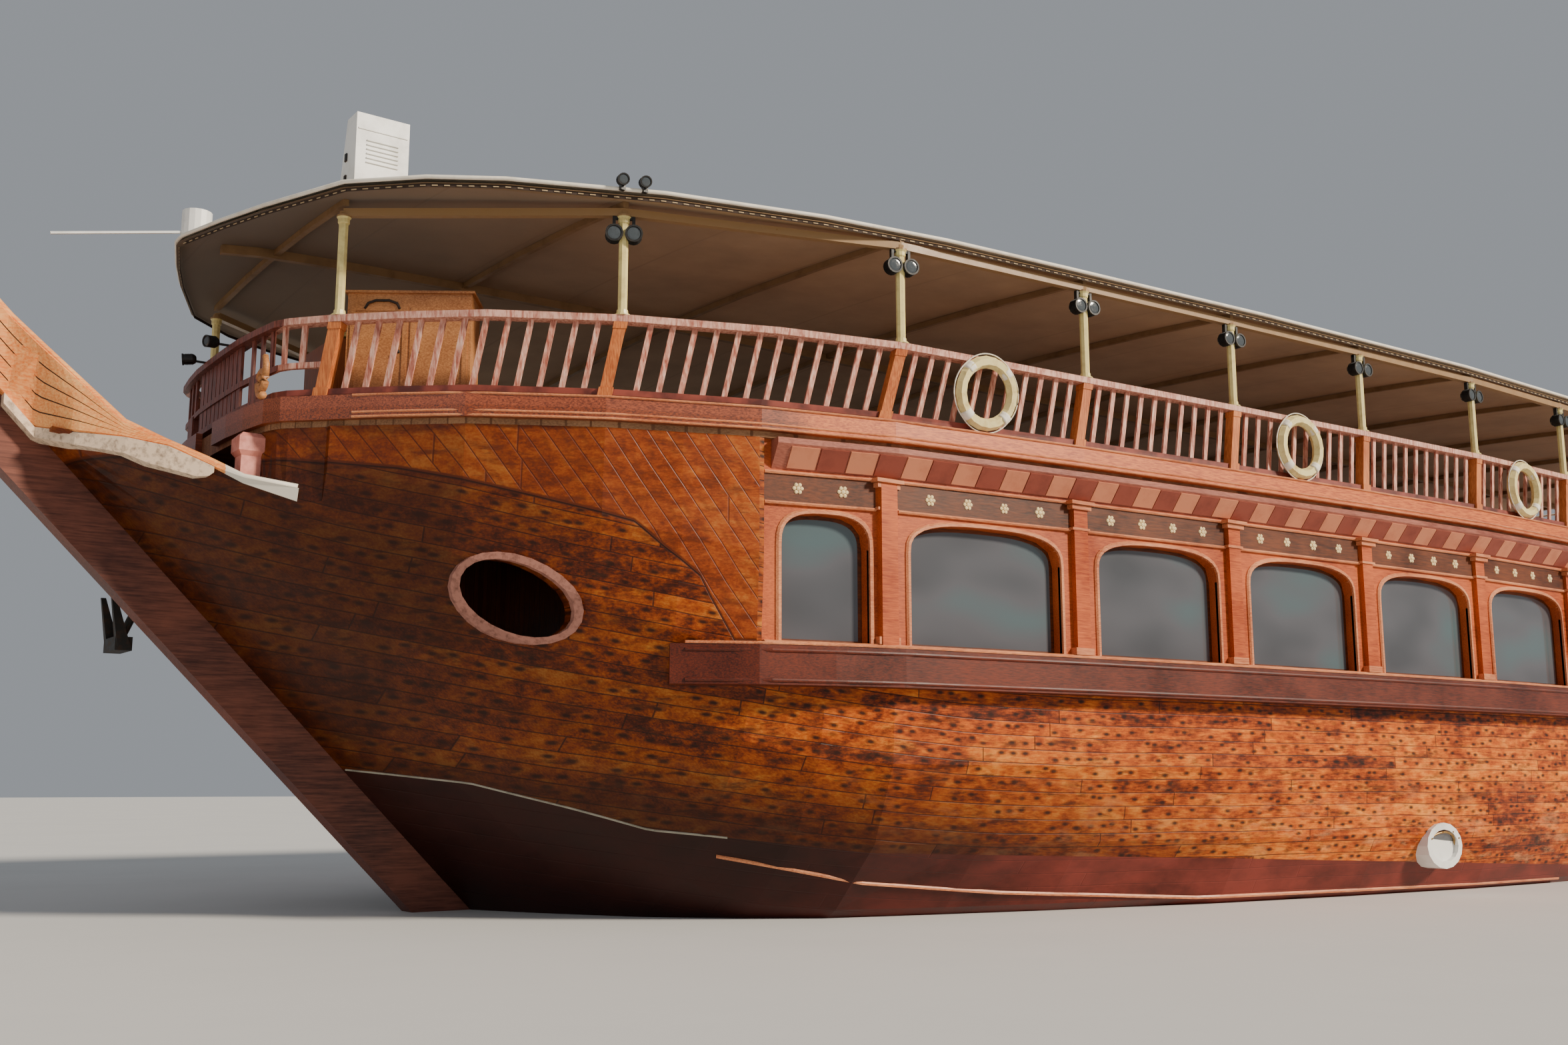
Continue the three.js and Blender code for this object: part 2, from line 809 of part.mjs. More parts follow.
function addRails() {
  const split = postX[1];
  const last = postX[postX.length - 1];
  const sections = [
    rect([-railInset - capHalf, -railInset + capHalf], capRail),
    rect([-railInset - 45, -railInset + 45], footRail),
  ];
  const aftPath = railPath.filter(({ x }) => x < split - 200 && x >= last);
  const sidePoints = [nearest(last - 60), ...aftPath, nearest(split - 80)];
  const side = joined([
    ...sections.map((section) => sweep(sidePoints, section, railLean)),
    ...postX.slice(2).map(railPost),
    ...balusterBays([split - 80, ...postX.slice(2)]),
  ]);
  addPair('side_rail', side, pinkPaint);

  const bothSides = (port) => {
    const twins = port.map(({ x, y, out }) => ({ x, y: -y, out: new THREE.Vector2(out.x, -out.y) }));
    return [...port, ...twins.reverse()];
  };
  const bowPath = bothSides([nearest(split - 79), ...railPath.filter(({ x }) => x > split + 100)]);
  const nosePath = bothSides(railPath.filter(({ x }) => x >= postX[0]));
  const noseRail = rect([-railInset - 25, -railInset + 25], nose.railZ);
  const upperHalf = [nose.railZ[1] - baluster.into, balusterZ[1]];
  const portPieces = [
    ...postX.slice(0, 2).map(railPost),
    ...balusterBays(postX.slice(0, 2)),
    ...spaced(postX[0], nose.cornerX, baluster.pitch).map((x) => railStick(x, upperHalf, baluster.half)),
    railStick(nose.kneeX, [balusterZ[0], nose.railZ[0] + baluster.into], [110, 40]),
  ];
  const slats = [];
  for (let y = -nose.slatsTo; y <= nose.slatsTo; y += nose.slatPitch) {
    slats.push(block(nose.slatX, [y - nose.slatHalf, y + nose.slatHalf], balusterZ));
  }
  const bow = joined([
    ...sections.map((section) => sweep(bowPath, section, railLean)),
    sweep(nosePath, noseRail, railLean),
    ...portPieces,
    ...portPieces.map((piece) => mirrored(piece)),
    ...slats,
  ]);
  add('bow_rail', bow, pinkPaint);
}

// Rail across the aft end of the upper deck, open to port for the ladder
const aftRail = { x: [-15640, -15540], y: [-4290, 2200], barZ: [5420, 5640, 5860] };

function addAftRail() {
  const { x, y, barZ } = aftRail;
  const middle = (x[0] + x[1]) / 2;
  const postWidth = 110;
  const posts = [0, 1, 2, 3].map((i) => {
    const from = y[0] + (i * (y[1] - y[0] - postWidth)) / 3;
    return block([middle - 45, middle + 45], [from, from + postWidth], [railStop, capRail[1]]);
  });
  const bars = barZ.map((z) => block([middle - 25, middle + 25], [y[0] + 20, y[1] - 20], [z - 30, z + 30]));
  add('aft_rail', joined([block(x, y, capRail), ...bars, ...posts]), pinkPaint);
}

// Canopy frame: a tube post over each rail post, with a beam along their tops

const floodlight = { z: 6960, away: 100, radius: 75, deep: 110 };

function addCanopyFrame() {
  const radius = 50;
  const tops = [...postX].reverse().map((x) => railPoint(x, railTop));
  const posts = tops.map(([x, y]) => bar([x, y, railTop + seat], [x, y, frameTop - 30], radius, 8));
  const lamps = [...postX].reverse().flatMap((post) => {
    const [x, y] = railPoint(post, railTop);
    const { out } = nearest(post);
    const sides = post === postX[0] ? [] : [-1, 1];
    return sides.map((side) => {
      const [lx, ly] = [x + side * floodlight.away * out.y, y - side * floodlight.away * out.x];
      const ends = [-0.5, 0.5].map((share) => {
        return [lx + share * floodlight.deep * out.x, ly + share * floodlight.deep * out.y, floodlight.z];
      });
      return bar(ends[0], ends[1], floodlight.radius, 6);
    });
  });
  const beam = sweep(withNormals(tops.map(([x, y]) => [x, y])), rect([-40, 40], [frameTop - 80, frameTop]));
  addPair('canopy_frame', joined([beam, ...posts, ...lamps]), cream, 0.4);
}

const camber = 260;
const canopyThick = 70;
const canopyGap = 50;
const canopyBase = frameTop + canopyGap;
const canopyShares = [-1, -0.7, -0.35, 0, 0.35, 0.7, 1];
const camberAt = (half, share) => camber * (half / 5600) * (1 - share * share);

function canopyBody(grow = 0) {
  const rings = canopyPlan.map(([x, half]) => {
    const edge = (share, rise) => [x, share * half, canopyBase + rise + camberAt(half, share)];
    const low = canopyShares.map((share) => edge(share, -grow));
    const high = canopyShares.map((share) => edge(share, canopyThick + grow));
    return [...low, ...high.reverse()];
  });
  return loft(rings);
}

function addCanopy() {
  add('canopy', canopyBody(), 0xe8dcc8, 0.9);
}

// Height of the canopy's flat-sided underside over a place
function canopyUnder(x, y) {
  const half = column(canopyPlan, x, 1);
  const rows = canopyShares.map((share) => [share, camberAt(half, share)]);
  return canopyBase + column(rows, y / half, 1);
}

// Cross beams and a ridge beam that carry the canopy on the two side frames

function addCanopyBeams() {
  const halfWide = 30;
  const deep = 70;
  const beams = postX.map((post) => {
    const [x, sideY] = railPoint(post, railTop);
    const reach = sideY + 40;
    const half = column(canopyPlan, x, 1);
    const folds = canopyShares.map((share) => share * half);
    const inner = folds.filter((y) => Math.abs(y) < reach - 50);
    return loft([-reach, ...inner, reach].map((y) => {
      const tops = [x - halfWide, x + halfWide].map((edgeX) => [edgeX, y, canopyUnder(edgeX, y) - seat]);
      const low = Math.max(frameTop + seat, tops[0][2] - deep);
      return [[x - halfWide, y, low], [x + halfWide, y, low], tops[1], tops[0]];
    }));
  });
  const ridgeEnds = [-15580, 13300];
  const between = canopyPlan.map((row) => row[0]).filter((x) => x > ridgeEnds[0] && x < ridgeEnds[1]);
  const ridge = loft([ridgeEnds[0], ...between.reverse(), ridgeEnds[1]].map((x) => {
    const top = canopyUnder(x, 40) - seat;
    return rect([-40, 40], [top - 100, top]).map(([y, z]) => [x, y, z]);
  }));
  add('canopy_beams', joined([ridge, ...beams]), cream, 0.4);
}

// Round portholes just over the water

const portholes = { x: [-1430, -9200], z: 625, long: 410, tall: 300, proud: 90, sides: 16 };

function addPortholes() {
  for (const [i, x] of portholes.x.entries()) {
    const shape = (grow) => {
      const points = [];
      for (let k = 0; k < portholes.sides; k += 1) {
        const turn = (2 * Math.PI * k) / portholes.sides;
        points.push([
          x + (portholes.long + grow) * Math.cos(turn),
          portholes.z + (portholes.tall + grow) * Math.sin(turn),
        ]);
      }
      return points;
    };
    const y = sectionHalf(x, portholes.z);
    const frame = cut(board(shape(0), [y - 300, y + portholes.proud]), [
      board(shape(-90), [y + 30, y + 400]),
      hullClear,
    ]);
    addPair(`porthole_${i + 1}`, frame, white, 0.4);
  }
}

// Rudder hung on the stern post, and the propeller in its aperture

const rudderPin = { away: 130, radius: 70, heel: -1900, head: 1450, gudgeons: [-1450, -450, 800] };

function alongPost(z, away) {
  return [transomX(z) - postDepth - away, 0, z];
}

function pinBar(z, length, radius) {
  const ends = [z - length / 2, z + length / 2].map((height) => alongPost(height, rudderPin.away));
  return bar(ends[0], ends[1], radius, 12);
}

// Iron eyes on the stern post, in which the rudder's stock turns
function gudgeons() {
  return rudderPin.gudgeons.map((z) => {
    const arm = board([
      [transomX(z - 45) - postDepth + 20, z - 45],
      [transomX(z + 45) - postDepth + 20, z + 45],
      [transomX(z + 45) - postDepth - 125, z + 45],
      [transomX(z - 45) - postDepth - 125, z - 45],
    ], [-45, 45]);
    return cut(joined([pinBar(z, 90, 112), arm]), [pinBar(z, 200, rudderPin.radius + 6)]);
  });
}

function addSteering() {
  const { heel, head } = rudderPin;
  const bladeTop = 560;
  const front = (z) => transomX(z) - postDepth - 60;
  const blade = board([
    [front(heel), heel],
    [front(bladeTop), bladeTop],
    [front(bladeTop) - 640, bladeTop],
    [front(-150) - 1200, -150],
    [front(heel) - 1440, heel],
  ], [-70, 70]);
  const notches = rudderPin.gudgeons.map((z) => pinBar(z, 170, 140));
  const stock = pinBar((heel + head) / 2, head - heel, rudderPin.radius);
  const collars = rudderPin.gudgeons.map((z) => pinBar(z + 45 + seat + 25, 50, 105));
  add('rudder', joined([cut(blade, notches), stock, ...collars]), bottomPaint);
}

const shaft = { radius: 60, tubeLength: 260, hubX: -14430 };

function addPropeller() {
  const tubeEnd = apertureX - shaft.tubeLength;
  const bore = bar([apertureX + 100, 0, shaftZ], [tubeEnd - 50, 0, shaftZ], shaft.radius + 6, 16);
  const tube = bar([apertureX - seat, 0, shaftZ], [tubeEnd, 0, shaftZ], 110, 16);
  add('stern_tube', cut(tube, [bore]), 0x8c7440, 0.4, 0.8);
  const hub = bar([tubeEnd - seat, 0, shaftZ], [shaft.hubX - 130, 0, shaftZ], 105, 16);
  const stub = bar([shaft.hubX + 100, 0, shaftZ], [apertureX - 12, 0, shaftZ], shaft.radius, 16);
  const blades = [0, 1, 2].map((i) => {
    const blade = new THREE.CylinderGeometry(250, 250, 26, 12);
    blade.scale(1, 1, 0.75);
    blade.rotateX(Math.PI / 2);
    blade.translate(0, 280, 0);
    blade.rotateY(0.9);
    blade.rotateX((i * 2 * Math.PI) / 3);
    blade.translate(shaft.hubX, 0, shaftZ);
    return blade;
  });
  add('propeller', joined([stub, hub, ...blades]), 0xb08d57, 0.35, 0.9);
}

// Helm: a pedestal on the upper deck with its wheel facing aft

const helm = { x: 11900, half: 420, top: 6000, hubZ: 6070, wheelX: 11560, wheelRadius: 420 };

function addHelm() {
  const pedestal = board([
    [helm.x - 250, deckTop + seat],
    [helm.x + 250, deckTop + seat],
    [helm.x + 250, helm.top + 380],
    [helm.x + 60, helm.top + 420],
    [helm.x - 250, helm.top + 120],
  ], [-helm.half, helm.half]);
  const z = helm.hubZ;
  const boss = bar([helm.x + 100, 0, z], [helm.wheelX + 60, 0, z], 45, 16);
  add('helm_console', joined([pedestal, boss]), 0x8a4a22, 0.4);

  const rim = torus([helm.wheelX, 0, z], [1, 0, 0], helm.wheelRadius, 24, 16, 6);
  const hub = bar([helm.wheelX + 60 - seat, 0, z], [helm.wheelX - 40, 0, z], 70, 16);
  const spokes = [0, 1, 2, 3].map((i) => {
    const turn = (i * Math.PI) / 4;
    const reach = helm.wheelRadius + 130;
    const tip = [Math.cos(turn) * reach, Math.sin(turn) * reach];
    return bar([helm.wheelX, -tip[0], z - tip[1]], [helm.wheelX, tip[0], z + tip[1]], 17, 4);
  });
  add('helm_wheel', joined([rim, hub, ...spokes]), helmTimber, 0.4);

  const cabinet = block([-640, 640], [-250, 250], [0, 1250]);
  cabinet.rotateZ(-0.6);
  cabinet.translate(11850, 2080, deckTop + seat);
  add('deck_cabinet', cabinet, 0xa8683a, 0.5);
}

// Companion ladder from the aft deck to the upper deck

const ladder = { y: [2300, 3100], foot: -17060, head: -15780, steps: 9 };

function addLadder() {
  const rise = deckTop - mainDeck;
  const run = ladder.head - ladder.foot;
  const stringer = (y) => board([
    [ladder.foot - 110, mainDeck + seat],
    [ladder.foot + 110, mainDeck + seat],
    [ladder.head + 110, deckTop],
    [ladder.head - 110, deckTop],
  ], y);
  const treads = [];
  for (let i = 1; i < ladder.steps; i += 1) {
    const z = mainDeck + (rise * i) / ladder.steps;
    const x = ladder.foot + (run * i) / ladder.steps;
    treads.push(block([x - 130, x + 110], [ladder.y[0] + 20, ladder.y[1] - 20], [z - 40, z]));
  }
  const sides = [stringer([ladder.y[0], ladder.y[0] + 50]), stringer([ladder.y[1] - 50, ladder.y[1]])];
  add('ladder', joined([...sides, ...treads]), plankBrown);
}

// Fittings

// Mooring bitt, columns: z, half
const bittRows = [
  [4200, 100],
  [4690, 100],
  [4740, 135],
  [4880, 135],
  [4930, 90],
];
const roofBox = { x: [11800, 12400], y: [1060, 1600], topY: 1320, top: 8610 };
const ring = { radius: 350, tube: 70, z: 5690, away: 128, aft: 150 };

function addFittings() {
  const ringBays = [2, 4, 6];
  const capRoom = sweep(
    railPath.filter(({ x }) => x < postX[1]),
    rect([-railInset - 300, -railInset + capHalf + seat], [capRail[0] - 1, railTop]),
    railLean,
  );
  for (const [i, bay] of ringBays.entries()) {
    const x = (postX[bay] + postX[bay + 1]) / 2 + ring.aft;
    const { out } = nearest(x);
    const tip = railLean(x, railTop)[1] / (railTop - deckTop);
    const body = torus(railPoint(x, ring.z, ring.away), [out.x, out.y, -tip], ring.radius, ring.tube, 20, 6);
    addPair(`life_ring_${i + 1}`, cut(body, [capRoom]), 0xebdda0, 0.7);
  }

  const canopyTopAt = (x, y) => {
    const half = column(canopyPlan, x, 1);
    return canopyBase + canopyThick + camberAt(half, y / half);
  };
  const foot = canopyTopAt(roofBox.x[0], 0) - 80;
  const shell = loft([roofBox.x[0], roofBox.x[1]].map((x) => {
    const { y, topY, top } = roofBox;
    return [[x, y[0], foot], [x, y[1], foot], [x, y[1], top], [x, topY, top]];
  }));
  add('roof_box', cut(shell, [canopyBody(seat)]), white, 0.5);

  const lampX = 13580;
  const lampZ = canopyTopAt(lampX, 0);
  const lamp = bar([lampX, 0, lampZ - 40], [lampX, 0, 7680], 160, 16);
  const rod = bar([lampX, 0, lampZ + 60], [15050, 0, 7130], 16, 6);
  add('bow_lamp', cut(joined([lamp, rod]), [canopyBody(seat)]), white, 0.4);

  const bitt = loft(bittRows.map(([z, half]) => {
    return rect([-half, half], [-half, half]).map(([dx, dy]) => [13300 + dx, 1440 + dy, z]);
  }));
  addPair('bow_bitt', cut(bitt, [foredeckClear()]), pinkPaint);

  const shank = bar(anchorEye, shankFoot, shankRadius, 10);
  const [ax, ay, az] = shankFoot;
  const crown = block([ax - 90, ax + 90], [ay - 260, ay + 260], [az - 90, az + 60]);
  const flukes = [-1, 1].map((side) => loft([
    rect([-70, 70], [-60, 60]).map(([dx, dy]) => [ax + dx, ay + side * 230 + dy, az - 60]),
    rect([-40, 10], [-20, 20]).map(([dx, dy]) => [ax + 150 + dx, ay + side * 230 + dy, az + 520]),
  ]));
  add('anchor', joined([shank, crown, ...flukes]), iron, 0.6, 0.5);
}

addHull();
addKeelAndStem();
addBowShells();
addProw();
addWales();
addSaloon();
addAftWall();
addSternBulwark();
addUpperDeck();
addRails();
addAftRail();
addCanopyFrame();
addCanopyBeams();
addCanopy();
addPortholes();
addSteering();
addPropeller();
addHelm();
addLadder();
addFittings();

export default dhow;
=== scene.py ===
# A wooden passenger dhow: finishes and small pieces over its CAD frame. Metres, bow to +X, port to +Y.
import json
import math
from functools import partial
import bpy
import bmesh
import numpy as np
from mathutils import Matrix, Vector
from mathutils.bvhtree import BVHTree


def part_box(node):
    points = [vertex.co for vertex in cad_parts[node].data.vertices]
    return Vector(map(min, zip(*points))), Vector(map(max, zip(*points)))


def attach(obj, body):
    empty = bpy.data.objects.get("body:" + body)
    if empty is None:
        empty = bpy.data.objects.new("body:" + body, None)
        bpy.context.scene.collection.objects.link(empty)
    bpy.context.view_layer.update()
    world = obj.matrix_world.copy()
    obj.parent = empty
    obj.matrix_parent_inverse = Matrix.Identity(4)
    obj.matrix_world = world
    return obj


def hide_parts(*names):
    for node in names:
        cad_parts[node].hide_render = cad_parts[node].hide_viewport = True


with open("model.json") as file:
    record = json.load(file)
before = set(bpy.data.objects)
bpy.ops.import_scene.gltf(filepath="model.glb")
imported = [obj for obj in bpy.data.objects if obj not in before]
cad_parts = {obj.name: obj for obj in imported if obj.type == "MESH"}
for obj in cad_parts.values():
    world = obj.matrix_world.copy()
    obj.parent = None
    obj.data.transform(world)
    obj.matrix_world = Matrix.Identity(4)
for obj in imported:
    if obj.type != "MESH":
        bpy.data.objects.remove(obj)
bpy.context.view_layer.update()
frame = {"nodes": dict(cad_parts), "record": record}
nodes = frame["nodes"]
up = Vector((0, 0, 1))


def srgb(code):  # hex colour to linear
    parts = [int(code[i:i + 2], 16) / 255 for i in (1, 3, 5)]
    return [c / 12.92 if c <= 0.04045 else ((c + 0.055) / 1.055) ** 2.4 for c in parts] + [1.0]


# Adds a node with its settings and links. Inputs go by name, or in a list in the order of its sockets in use.
# A colour is a hex string, a node stands for its first output in use, stops are a ramp's places and values.
def addNode(tree, kind, inputs=(), stops=(), **settings):
    node = tree.nodes.new(kind if "Node" in kind else "ShaderNode" + kind)
    for name, value in settings.items():
        setattr(node, name, value)
    if not isinstance(inputs, dict):
        inputs = dict(zip([i for i, socket in enumerate(node.inputs) if not socket.is_unavailable], inputs))
    for socket, value in inputs.items():
        if isinstance(value, bpy.types.Node):
            value = next(out for out in value.outputs if not out.is_unavailable)
        if isinstance(value, bpy.types.NodeSocket):
            tree.links.new(value, node.inputs[socket])
        else:
            node.inputs[socket].default_value = srgb(value) if isinstance(value, str) else value
    for i, (place, value) in enumerate(stops):
        row = node.color_ramp.elements
        element = row[i] if i < len(row) else row.new(place)
        element.position = place
        element.color = srgb(value) if isinstance(value, str) else [value] * 3 + [1.0]
    return node


def newMaterial(name):  # with what adds its nodes, and its Object coordinates
    material = bpy.data.materials.new(name)
    material.use_nodes = True
    material.node_tree.nodes.clear()
    add = partial(addNode, material.node_tree)
    return material, add, add("TexCoord").outputs["Object"]


# Varnished joinery: long fine grain, broad patches where the varnish has thinned
# grain is the width of a grain line in metres, drawn coarser than real so that it shows
# planks gives the direction across the boards and their width, aft a place along x and the colour behind it
def woodFinish(name, dark, light, along=0, rough=0.45, grain=0.012, coat=0.1, planks=None, aft=None):
    material, add, place = newMaterial(name)
    scale = [1 / grain] * 3
    scale[along] /= 16  # lines sixteen times as long as they are wide
    stretched = add("Mapping", {"Vector": place, "Scale": scale})
    streaks = add("TexNoise", {"Vector": stretched, "Scale": 1.0, "Detail": 5.0, "Roughness": 0.6})
    patches = add("TexNoise", {"Vector": place, "Scale": 1.1, "Detail": 5.0, "Roughness": 0.6})
    part = add("Math", [streaks, 0.55], operation="MULTIPLY")
    tone = add("Math", [patches, 0.45, part], operation="MULTIPLY_ADD")
    height = streaks
    if planks:
        across = add("VectorMath", [place, planks[0]], operation="DOT_PRODUCT")
        row = add("Math", [across, planks[1]], operation="DIVIDE")
        own = add("TexWhiteNoise", {"W": add("Math", [row], operation="FLOOR")}, noise_dimensions="1D")
        own = add("Math", [own, 0.5], operation="SUBTRACT")
        tone = add("Math", [own, 0.12, tone], operation="MULTIPLY_ADD")
        seam = add("MapRange", [add("Math", [row, 0.5], operation="PINGPONG"), 0.02, 0.06, 1.0, 0.0])
        tone = add("Math", [seam, -0.3, tone], operation="MULTIPLY_ADD")
        height = add("Math", [seam, -3.0, streaks], operation="MULTIPLY_ADD")
    colour = add("ValToRGB", [tone], [(0.36, dark), (0.62, light)])
    gloss = add("MapRange", [patches, 0.3, 0.7, rough - 0.1, rough + 0.15])
    bump = add("Bump", {"Height": height, "Distance": 0.0012, "Strength": 0.5})
    if aft:
        ragged = add("Math", [patches, 0.5, add("SeparateXYZ", [place])], operation="MULTIPLY_ADD")
        behind = add("Math", [ragged, aft[0] + 0.25], operation="LESS_THAN")
        colour = add("Mix", [behind, colour, aft[1]], data_type="RGBA")
    shader = add("BsdfPrincipled", {
        "Base Color": colour, "Roughness": gloss, "Normal": bump, "Specular IOR Level": 0.35,
        "Coat Weight": coat, "Coat Roughness": 0.3})
    add("OutputMaterial", [shader])
    return material


# Brushed gloss paint: even colour, grime in broad patches and fine brush texture
# over gives a height and the colour above it, used for painted shade
def paintFinish(name, colour, grime, rough=0.4, patch=0.35, metal=0.0, over=None):
    material, add, place = newMaterial(name)
    patches = add("TexNoise", {"Vector": place, "Scale": 1 / patch, "Detail": 7.0, "Roughness": 0.62})
    brush = add("TexNoise", {"Vector": place, "Scale": 90.0, "Detail": 3.0})
    worn = add("MapRange", [patches, 0.46, 0.74, 0.0, 0.75])
    mixed = add("Mix", [worn, colour, grime], data_type="RGBA")
    if over:
        height = add("SeparateXYZ", [place]).outputs[2]
        above = add("MapRange", [height, over[0] - 0.002, over[0] + 0.002])
        mixed = add("Mix", [above, mixed, over[1]], data_type="RGBA")
    gloss = add("MapRange", [patches, 0.3, 0.75, rough - 0.08, rough + 0.2])
    bump = add("Bump", {"Height": brush, "Distance": 0.001, "Strength": 0.35})
    shader = add("BsdfPrincipled", {
        "Base Color": mixed, "Roughness": gloss, "Normal": bump, "Metallic": metal})
    add("OutputMaterial", [shader])
    return material


hullFinish = {
    "plankWidth": 0.15, "plankLength": 3.4, "plugSpacing": 0.18, "diagonalWidth": 0.16, "deckPlank": 0.12,
    "paintTop": [(-18.0, 0.14), (-12.0, 0.14), (-5.0, 0.27), (2.2, 0.54), (7.5, 0.71), (9.4, 0.95),
                 (10.0, 1.16), (10.8, 1.43), (12.0, 1.64)],  # x, height of the bottom paint's edge
    "paintReach": (-18.0, 12.0),
    "battens": [(-5.0, 0.07), (2.8, 0.09), (5.7, 0.24), (7.4, 0.39), (8.8, 0.68)],  # x, height
    "seam": [(9.2, 2.85), (9.55, 3.5), (10.2, 4.02), (11.1, 4.25), (12.2, 4.52), (13.3, 4.66)],  # x, height
    "seamReach": (9.0, 13.4),
    "noises": [  # stretch, detail, roughness: grain, stains, blotches, dark streaks, scuffs
        ((3.5, 50.0, 50.0), 6.0, 0.65), ((0.7, 0.7, 1.4), 8.0, 0.66), ((4.5, 4.5, 9.0), 4.0, 0.6),
        ((2.2, 2.2, 12.0), 5.0, 0.7), ((1.6, 1.6, 6.0), 8.0, 0.7)],
}


# Oiled teak strakes: each plank its own tone, dark caulked seams and plug marks, pale scuffs low down
def hullPlanking():
    f = hullFinish
    material, add, place = newMaterial("oiledTeakPlanking")
    x, y, z = add("SeparateXYZ", [place]).outputs
    facing = add("SeparateXYZ", [add("NewGeometry").outputs["Normal"]]).outputs[2]
    noises = []
    for stretch, detail, rough in f["noises"]:
        noises.append(add("TexNoise", {
            "Vector": add("Mapping", {"Vector": place, "Scale": stretch}),
            "Scale": 1.0, "Detail": detail, "Roughness": rough}))
    grain, stain, mottle, drips, rubs = noises

    # strakes rise towards the bow and wander a little
    ahead = add("Math", [add("Math", [x, 5.0], operation="SUBTRACT"), 0.0], operation="MAXIMUM")
    curve = add("Math", [ahead, ahead], operation="MULTIPLY")
    rise = add("Math", [curve, -0.02, z], operation="MULTIPLY_ADD")
    wander = add("TexNoise", {"Vector": place, "Scale": 0.5, "Detail": 2.0})
    strake = add("Math", [wander, 0.05, rise], operation="MULTIPLY_ADD")
    strake = add("Math", [strake, f["plankWidth"]], operation="DIVIDE")

    # above the seam under the deck the planks run down aft
    start, end = f["seamReach"]
    edge = [((a - start) / (end - start), b / 5) for a, b in f["seam"]]
    line = add("ValToRGB", [add("MapRange", [x, start, end])], edge)
    overSeam = add("Math", [z, add("Math", [line, 5.0], operation="MULTIPLY")], operation="SUBTRACT")
    foreward = add("Math", [x, start], operation="GREATER_THAN")
    high = add("Math", [overSeam, 0.0], operation="GREATER_THAN")
    high = add("Math", [high, foreward], operation="MULTIPLY")
    seamMark = add("MapRange", [add("Math", [overSeam], operation="ABSOLUTE"), 0.012, 0.03, 1.0, 0.0])
    seamMark = add("Math", [seamMark, foreward], operation="MULTIPLY")
    slant = add("Math", [x, 0.84, add("Math", [z, -0.55], operation="MULTIPLY")], operation="MULTIPLY_ADD")
    diagonal = add("Math", [slant, f["diagonalWidth"]], operation="DIVIDE")

    # level faces are decks, laid fore and aft
    level = add("Math", [add("Math", [facing], operation="ABSOLUTE"), 0.9], operation="GREATER_THAN")
    deck = add("Math", [y, f["deckPlank"]], operation="DIVIDE")
    row = add("Mix", [level, add("Mix", [high, strake, diagonal]), deck])

    # each plank's own tone under grain, broad stains and small blotches
    index = add("Math", [row], operation="FLOOR")
    share = add("Math", [row], operation="FRACT")
    shift = add("TexWhiteNoise", {"W": index}, noise_dimensions="1D")
    along = add("Math", [x, f["plankLength"]], operation="DIVIDE")
    along = add("Math", [along, add("Math", [shift, 3.0], operation="MULTIPLY")])
    plank = add("CombineXYZ", [add("Math", [along], operation="FLOOR"), index])
    tint = add("TexWhiteNoise", {"Vector": plank}, noise_dimensions="3D")
    tone = add("Math", [grain, 0.30], operation="MULTIPLY")
    for part, weight in ((tint, 0.10), (mottle, 0.36), (stain, 0.34)):
        tone = add("Math", [part, weight, tone], operation="MULTIPLY_ADD")
    oiled = add("ValToRGB", [tone], [
        (0.41, "#2C0E02"), (0.47, "#6C2604"), (0.53, "#A64608"), (0.59, "#CA640E"), (0.68, "#E89038")])

    # seams and plank ends
    seams = add("MapRange", [add("Math", [share, 0.5], operation="PINGPONG"), 0.015, 0.05, 0.85, 0.0])
    ends = add("Math", [add("Math", [along], operation="FRACT"), 0.5], operation="PINGPONG")
    ends = add("MapRange", [ends, 0.001, 0.003, 0.8, 0.0])
    cracks = add("Math", [seams, ends], operation="MAXIMUM")
    cracks = add("Math", [cracks, seamMark], operation="MAXIMUM")

    # wooden plugs over the frame bolts, each a little off its place and stained black along the grain
    step = add("Math", [add("Math", [x, f["plugSpacing"]], operation="DIVIDE"), shift])
    cell = add("CombineXYZ", [add("Math", [step], operation="FLOOR"), index, 5.0])
    stray = add("TexWhiteNoise", {"Vector": cell}, noise_dimensions="3D").outputs["Color"]
    stray = add("SeparateColor", [stray]).outputs
    away = []
    for where, own, reach in ((add("Math", [step], operation="FRACT"), stray[0], f["plugSpacing"] * 0.45),
                              (share, stray[1], f["plankWidth"])):
        off = add("Math", [where, add("MapRange", [own, 0.0, 1.0, 0.25, 0.75])], operation="SUBTRACT")
        away.append(add("Math", [off, reach], operation="MULTIPLY"))
    plugs = add("VectorMath", [add("CombineXYZ", away)], operation="LENGTH")
    plugs = add("MapRange", [plugs, 0.010, 0.031, 0.92, 0.0])
    for kept in ([stray[2], 0.25, 0.45], [high, 0.0, 1.0, 1.0, 0.35]):
        plugs = add("Math", [plugs, add("MapRange", kept)], operation="MULTIPLY")
    marks = add("Math", [cracks, plugs], operation="MAXIMUM")
    wood = add("Mix", [marks, oiled, "#1E0A04"], data_type="RGBA")

    # dark streaks along the seams, pale scuffs where quays rub, and redder diagonals
    streaks = add("MapRange", [drips, 0.52, 0.66, 0.0, 0.75])
    lowDown = add("MapRange", [z, 0.5, 1.7, 0.7, 0.05])
    rubbed = add("Math", [add("MapRange", [rubs, 0.53, 0.66]), lowDown], operation="MULTIPLY")
    redder = add("Math", [high, 0.45], operation="MULTIPLY")
    for amount, tone in ((streaks, "#341204"), (rubbed, "#D8905C"), (redder, "#8A3A14")):
        wood = add("Mix", [amount, wood, tone], data_type="RGBA")
